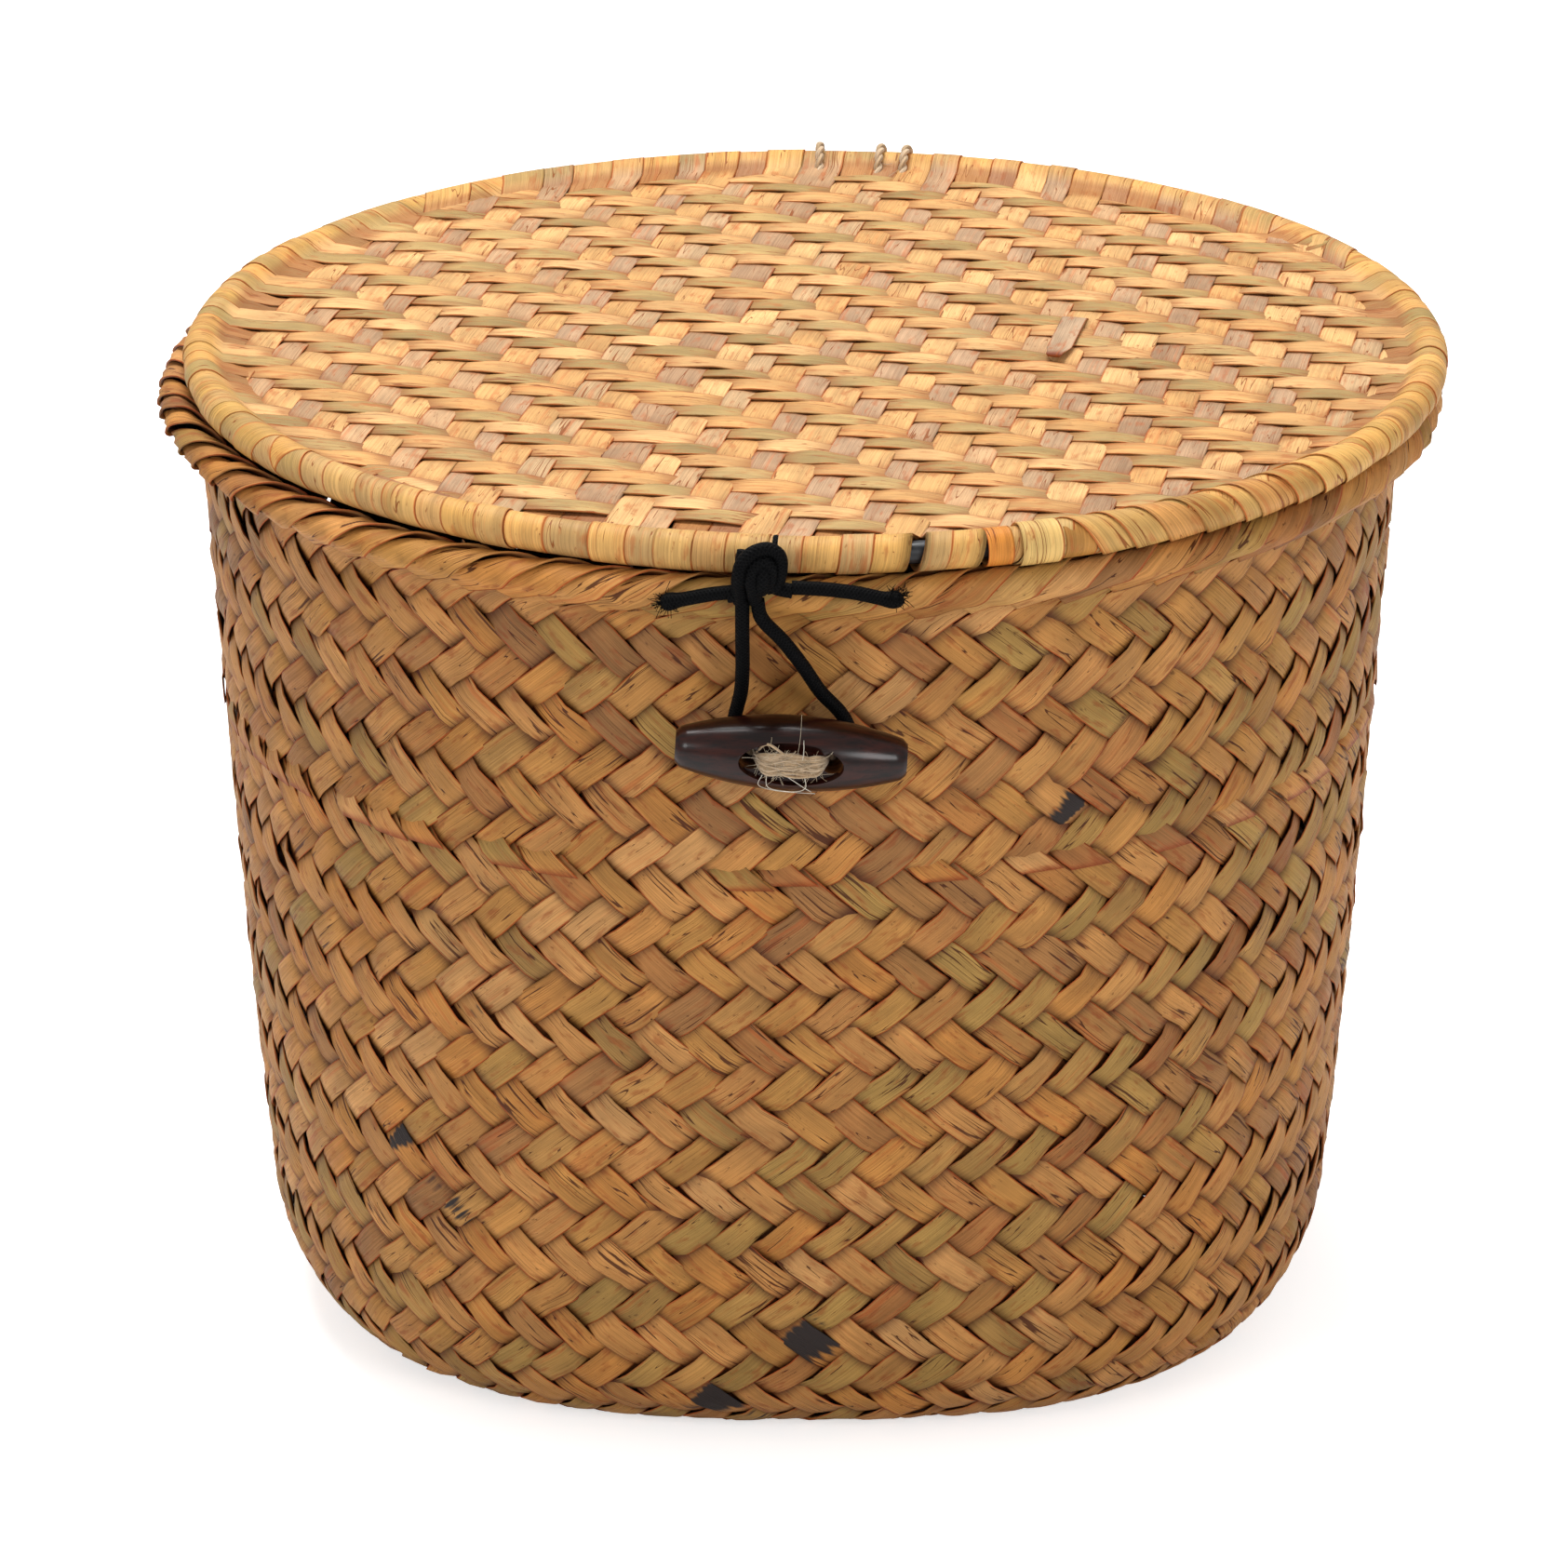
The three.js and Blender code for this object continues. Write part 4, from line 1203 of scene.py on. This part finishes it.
for side, route in tail_routes.items():
    tail_path = smooth_path(route) + elastic_start
    left_to_go = run_along(*tail_path[::-1].T)[::-1]
    swell = 1 + burnt_swell * smooth(swell_reach - left_to_go / burnt_length)
    round_off = np.sqrt(np.clip(1 - (1 - left_to_go / elastic_radius) ** 2, tip_least_share, 1))
    thick = elastic_radius * swell * np.where(left_to_go < elastic_radius, round_off, 1)
    tail = Bundle()
    add_cord(tail, tail_path, thick, black, knot_sides)
    tip = tail_path[left_to_go < burnt_length]
    lean = (tip[-1] - tip[0]) / np.linalg.norm(tip[-1] - tip[0])
    add_fibres(tail, tip, frayed_count, frayed_length, elastic_radius, fibre_radius, black,
               frayed_lean * lean)
    tail.piece(f"elastic_end_{side}", black_elastic, "lid", "black_elastic", [f"elastic_tail_{side}"])

knot_angle = math.atan2(lump_middle.x - lid_middle[0], -(lump_middle.y - lid_middle[1]))
turn_radius = lid_hoop_radius + turn_roll * np.cos(turn_sweep)
turn_path = np.stack([
    lid_middle[0] + turn_radius * math.sin(knot_angle),
    lid_middle[1] - turn_radius * math.cos(knot_angle),
    lid_middle[2] + turn_roll * np.sin(turn_sweep),
], -1)
turn = Bundle()
sideways_step = np.array([math.cos(knot_angle), math.sin(knot_angle), 0])
for shift in (-turn_spread, turn_spread):
    add_cord(turn, turn_path + shift * sideways_step, turn_cord_radius, black, turn_sides)
turn.piece("elastic_round_hoop", black_elastic, "lid", "black_elastic", ["elastic_turn"])

knot = Bundle()
for strand in knot_strands:
    strand_path = smooth_path(strand) + np.array(lump_middle)
    add_cord(knot, strand_path, knot_cord_radius, black, knot_sides)
knot.piece("elastic_knot_turns", black_elastic, "lid", "black_elastic", ["elastic_knot"])

# The toggle
# A turned barrel of dark polished wood with an oval recess in its face and two holes through it.
# Jute twine lies across the recess, goes through both holes and the wall and is knotted inside.
toggle_tilt = math.radians(3.7)
toggle_half = 0.02015
toggle_radius = 0.00665
toggle_slack = 0.00025
toggle_end_radius = 0.00365
toggle_end_round = 0.0009
recess_half_length = 0.0096
recess_half_width = 0.00425
recess_depth = 0.0029
recess_floor_length_share = 0.93
recess_floor_width_share = 0.9
cutter_overrun = 0.004
edge_softening = 0.0004
hole_offset = 0.0071
hole_radius = 0.0019
twine_radius = 0.0014
twine_plies = 3
twine_knot_plies = 2
twine_inner_end = 0.0035
twine_front_end = 0.001
twine_bend = 0.0019
bridge_half = 0.0042
bridge_rise = 0.0016
bridge_stand = 0.0016
bridge_crown = 0.0002
bridge_strands = 34
strand_scatter = 0.0005
strand_wander = 0.0006
strand_radius = (0.00013, 0.00031)
strand_entry = 0.0006
strand_entry_depth = 0.0015
strand_shoulder = 0.0009
strand_shoulder_drop = 0.003
entry_spread, shoulder_spread = 0.3, 0.4
bridge_spread, crown_spread = 0.9, 1.05
strand_sides = 6
short_hairs = {"count": 260, "length": 0.0012, "thickness": 0.00003, "tone": "#d8c09c", "lean": 1.2}
long_hairs = {"count": 60, "length": 0.0022, "thickness": 0.000035, "tone": "#e0ceb0", "lean": 0.6}
hair_stand = 0.0005
hair_least_depth = 0.002
hair_radius = 0.00007
hair_sides = 5
hair_tone = colour("#e4dccb")
hair_loops = [
    [(-0.0049, -0.0016), (-0.0054, -0.004), (-0.0026, -0.0054), (0.0016, -0.006), (0.0046, -0.0063)],
    [(-0.0042, -0.0018), (-0.0036, -0.0046), (0.0006, -0.0056), (0.0027, -0.0042), (0.0025, -0.0018)],
    [(-0.0004, -0.0018), (0.0022, -0.0038), (0.0038, -0.0052)],
    [(0.0019, 0.0016), (0.002, 0.0032), (0.0019, 0.0046)],
]
toggle_sides = 64
barrel_steps = 33

toggle_low, toggle_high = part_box("toggle")
toggle_middle = Vector(((toggle_low.x + toggle_high.x) / 2, toggle_high.y - toggle_slack - toggle_radius,
                        (toggle_low.z + toggle_high.z) / 2))
toggle_place = Matrix.Translation(toggle_middle) @ Matrix.Rotation(toggle_tilt, 4, "Y")
twine_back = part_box("toggle_twine")[1].y - twine_radius - toggle_middle.y


def solid_between(rings, finish_index=0):
    """A closed mesh through a stack of rings of points."""
    sides = len(rings[0])
    points = [point for ring in rings for point in ring]
    corners = ((0, 0), (0, 1), (1, 1), (1, 0))
    faces = [[(level + step) * sides + (i + turn) % sides for step, turn in corners]
             for level in range(len(rings) - 1) for i in range(sides)]
    faces.append(list(range(sides))[::-1])
    faces.append([(len(rings) - 1) * sides + i for i in range(sides)])
    mesh = bpy.data.meshes.new("solid")
    mesh.from_pydata(points, [], faces)
    shell = bmesh.new()
    shell.from_mesh(mesh)
    bmesh.ops.recalc_face_normals(shell, faces=shell.faces)
    shell.to_mesh(mesh)
    shell.free()
    mesh.polygons.foreach_set("material_index", [finish_index] * len(faces))
    made = bpy.data.objects.new("solid", mesh)
    bpy.context.scene.collection.objects.link(made)
    return made


def oval(half_length, half_width, depth, middle=0.0):
    turns = [2 * math.pi * i / toggle_sides for i in range(toggle_sides)]
    return [(middle + half_length * math.cos(t), depth, half_width * math.sin(t)) for t in turns]


barrel_stations = [(-toggle_half, toggle_end_radius - toggle_end_round)]
for share in np.linspace(-1, 1, barrel_steps):
    bulge = toggle_end_radius + (toggle_radius - toggle_end_radius) * (1 - share * share)
    barrel_stations.append((share * (toggle_half - toggle_end_round), bulge))
barrel_stations.append((toggle_half, toggle_end_radius - toggle_end_round))
barrel_turns = [2 * math.pi * i / toggle_sides for i in range(toggle_sides)]
toggle = solid_between([
    [(x, radius * math.cos(turn), radius * math.sin(turn)) for turn in barrel_turns]
    for x, radius in barrel_stations
])

front, floor_depth = -toggle_radius - cutter_overrun, -toggle_radius + recess_depth
recess_floor_length = recess_half_length * recess_floor_length_share
recess_floor_width = recess_half_width * recess_floor_width_share
cutters = [solid_between([oval(recess_half_length, recess_half_width, front),
                          oval(recess_floor_length, recess_floor_width, floor_depth)])]
for offset in (-hole_offset, hole_offset):
    cutters.append(solid_between([oval(hole_radius, hole_radius, front, offset),
                                  oval(hole_radius, hole_radius, -front, offset)], 1))


def wood_finish(name, dark, light, gloss):
    """Turned wood: long grain with fine pores, stained and polished."""
    wood = Finish(name)
    place = wood.nodes.new("ShaderNodeTexCoord").outputs["Object"]
    grain = wood.noise(place, (90, 900, 900), 5)
    pores = wood.noise(place, (300, 2600, 2600), 2)
    patches = wood.noise(place, (60, 160, 160), 2)
    tone = wood.mixed("MIX", wood.ramp(grain, 0.3, 0.7), dark, light)
    tone = wood.mixed("MULTIPLY", 1.0, tone, wood.ramp(patches, 0.3, 0.7, 0.7, 1.2))
    tone = wood.mixed("MULTIPLY", 1.0, tone, wood.ramp(pores, 0.3, 0.42, 0.5, 1.0))
    wood.put(tone, wood.shader.inputs["Base Color"])
    wood.put(wood.ramp(grain, 0.3, 0.7, 0.42, 0.3), wood.shader.inputs["Roughness"])
    wood.shader.inputs["Specular IOR Level"].default_value = 0.1
    wood.shader.inputs["Coat Weight"].default_value = gloss
    wood.shader.inputs["Coat Roughness"].default_value = 0.2
    wood.bump(grain, 0.5, 0.0001)
    return wood.made


toggle_wood = wood_finish("toggle_wood", dark=colour("#140604"), light=colour("#34120a"), gloss=0.5)
cut_wood = wood_finish("toggle_cut_wood", dark=colour("#4a2814"), light=colour("#80522c"), gloss=0.1)
toggle.data.materials.append(toggle_wood)
toggle.data.materials.append(cut_wood)
for cutter in cutters:
    cut = toggle.modifiers.new("cut", "BOOLEAN")
    cut.operation = "DIFFERENCE"
    cut.solver = "EXACT"
    cut.object = cutter
soften = toggle.modifiers.new("soften", "BEVEL")
soften.width = edge_softening
soften.segments = 3
soften.limit_method = "ANGLE"
soften.angle_limit = math.radians(35)
shaped = bpy.data.meshes.new_from_object(toggle.evaluated_get(bpy.context.evaluated_depsgraph_get()))
for cutter in cutters:
    bpy.data.objects.remove(cutter)
toggle.modifiers.clear()
toggle.data = shaped
shaped.transform(toggle_place)
shaped.polygons.foreach_set("use_smooth", [True] * len(shaped.polygons))
shaped.set_sharp_from_angle(angle=math.radians(40))
toggle.name = "toggle_barrel"
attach(toggle, "toggle")
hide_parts("toggle")


def on_toggle(points):
    return np.array([toggle_place @ Vector(point) for point in points])


bridge_depth = floor_depth - bridge_stand
twine = Bundle()
for end in (-1, 1):
    hole = end * hole_offset
    inner = end * twine_inner_end
    leg_corners = [(inner, twine_back, 0), (hole, twine_back, 0), (hole, twine_front_end, 0)]
    leg_path = on_toggle(rounded_path(leg_corners, twine_bend))
    add_twine(twine, leg_path, twine_radius, twine_plies, jute_tones)
entry, shoulder = hole_offset - strand_entry, hole_offset - strand_shoulder
strand_paths = []
for number in range(bridge_strands):
    level = bridge_rise * (2 * (number + 0.5) / bridge_strands - 1)
    depth = bridge_depth + strand_scatter * draw.standard_normal() * (1 - abs(level) / bridge_rise)
    wander = strand_wander * draw.standard_normal(3)
    shoulder_depth = depth + strand_shoulder_drop
    strand_paths.append(on_toggle(smooth_path([
        (-entry, strand_entry_depth, entry_spread * level),
        (-shoulder, shoulder_depth, shoulder_spread * level),
        (-bridge_half, depth, bridge_spread * level + wander[0]),
        (0, depth - bridge_crown, crown_spread * level + wander[1]),
        (bridge_half, depth, bridge_spread * level + wander[2]),
        (shoulder, shoulder_depth, shoulder_spread * level),
        (entry, strand_entry_depth, entry_spread * level),
    ])))
    add_cord(twine, strand_paths[-1], drawn_between(strand_radius), jute_tones[number % 2], strand_sides)
bridge = np.concatenate([path[len(path) // 4:-len(path) // 4] for path in strand_paths])
toward_front = np.array([0, -1, 0])
for hairs in (short_hairs, long_hairs):
    add_fibres(twine, bridge, hairs["count"], hairs["length"], bridge_crown, hairs["thickness"],
               colour(hairs["tone"]), hairs["lean"] * toward_front)
for points in hair_loops:
    hair = []
    for across, up in points:
        depth = math.sqrt(max(toggle_radius ** 2 - up ** 2, hair_least_depth ** 2)) + hair_stand
        hair.append((across, -depth, up))
    add_cord(twine, on_toggle(smooth_path(hair)), hair_radius, hair_tone, hair_sides)
twine.piece("twine_through_toggle", jute_twine, "toggle", "jute_twine", ["toggle_twine"])

knot_low, knot_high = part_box("twine_knot")
twine_end = Bundle()
twine_knot_path = knot_path(knot_low, knot_high, twine_radius)
add_twine(twine_end, twine_knot_path, twine_radius, twine_knot_plies, jute_tones)
twine_end.piece("twine_knot_inside", jute_twine, "basket", "jute_twine", ["twine_knot"])

# The place that the box is shown in
# A pale floor under a soft white light. One wide lamp hangs overhead and two weaker ones stand at the
# front right and the front left. The camera looks down on the front of the box from a little above.
floor_size = 6.0
floor_colour = colour("#f4f4f4")
floor_glow = 0.6
world_strength = 0.5
visible_strength = 1.0
lamps = {
    "overhead": {"place": (-0.15, 0.25, 1.25), "size": 0.8, "power": 15.5},
    "right": {"place": (0.75, -1.2, 0.7), "size": 0.5, "power": 5.5},
    "left": {"place": (-0.9, -1.05, 0.7), "size": 0.4, "power": 3.2},
}
middle_of_box = (0, 0, 0.1)
camera_distance = 1.15
camera_elevation = math.radians(22.62)
aim_point = (-0.00302, 0.0, 0.09397)
focal_pixels = 6274
photo_pixels = 1685
sensor_width = 36.0

floor_mesh = bpy.data.meshes.new("floor")
reach = floor_size / 2
floor_corners = [(-reach, -reach, 0), (reach, -reach, 0), (reach, reach, 0), (-reach, reach, 0)]
floor_mesh.from_pydata(floor_corners, [], [(0, 1, 2, 3)])
floor = bpy.data.objects.new("floor", floor_mesh)
bpy.context.scene.collection.objects.link(floor)


def glow_for_view(nodes, links, strength):
    """A strength that only the camera sees, itself or through a clear piece."""
    path = nodes.new("ShaderNodeLightPath")
    either = nodes.new("ShaderNodeMath")
    either.operation = "MAXIMUM"
    links.new(path.outputs["Is Camera Ray"], either.inputs[0])
    links.new(path.outputs["Is Transmission Ray"], either.inputs[1])
    amount = nodes.new("ShaderNodeMath")
    amount.operation = "MULTIPLY"
    amount.inputs[1].default_value = strength
    links.new(either.outputs[0], amount.inputs[0])
    return amount.outputs[0]


floor_finish = bpy.data.materials.new("pale_floor")
floor_finish.use_nodes = True
floor_nodes = floor_finish.node_tree
floor_shader = floor_nodes.nodes["Principled BSDF"]
floor_shader.inputs["Base Color"].default_value = (*floor_colour, 1)
floor_shader.inputs["Roughness"].default_value = 0.9
floor_shader.inputs["Emission Color"].default_value = (1, 1, 1, 1)
links = floor_nodes.links
links.new(glow_for_view(floor_nodes.nodes, links, floor_glow), floor_shader.inputs["Emission Strength"])
floor_mesh.materials.append(floor_finish)

world = bpy.data.worlds.new("studio")
bpy.context.scene.world = world
world.use_nodes = True
background = world.node_tree.nodes["Background"]
background.inputs["Color"].default_value = (1, 1, 1, 1)
lift_up = world.node_tree.nodes.new("ShaderNodeMath")
lift_up.operation = "ADD"
lift_up.inputs[1].default_value = world_strength
world_links = world.node_tree.links
seen_extra = glow_for_view(world.node_tree.nodes, world_links, visible_strength - world_strength)
world_links.new(seen_extra, lift_up.inputs[0])
world_links.new(lift_up.outputs[0], background.inputs["Strength"])

for name, lamp in lamps.items():
    light = bpy.data.lights.new(name, "AREA")
    light.shape = "DISK"
    light.size = lamp["size"]
    light.energy = lamp["power"]
    holder = bpy.data.objects.new(name, light)
    holder.location = lamp["place"]
    toward = Vector(middle_of_box) - Vector(lamp["place"])
    holder.rotation_euler = toward.to_track_quat("-Z", "Y").to_euler()
    bpy.context.scene.collection.objects.link(holder)

camera = bpy.data.cameras.new("camera")
camera.sensor_width = sensor_width
camera.lens = focal_pixels / photo_pixels * sensor_width
camera_holder = bpy.data.objects.new("camera", camera)
back = Vector((0, -math.cos(camera_elevation), math.sin(camera_elevation)))
camera_holder.location = Vector(aim_point) + back * camera_distance
camera_holder.rotation_euler = back.to_track_quat("Z", "Y").to_euler()
bpy.context.scene.collection.objects.link(camera_holder)
bpy.context.scene.camera = camera_holder
bpy.context.scene.view_settings.view_transform = "Standard"
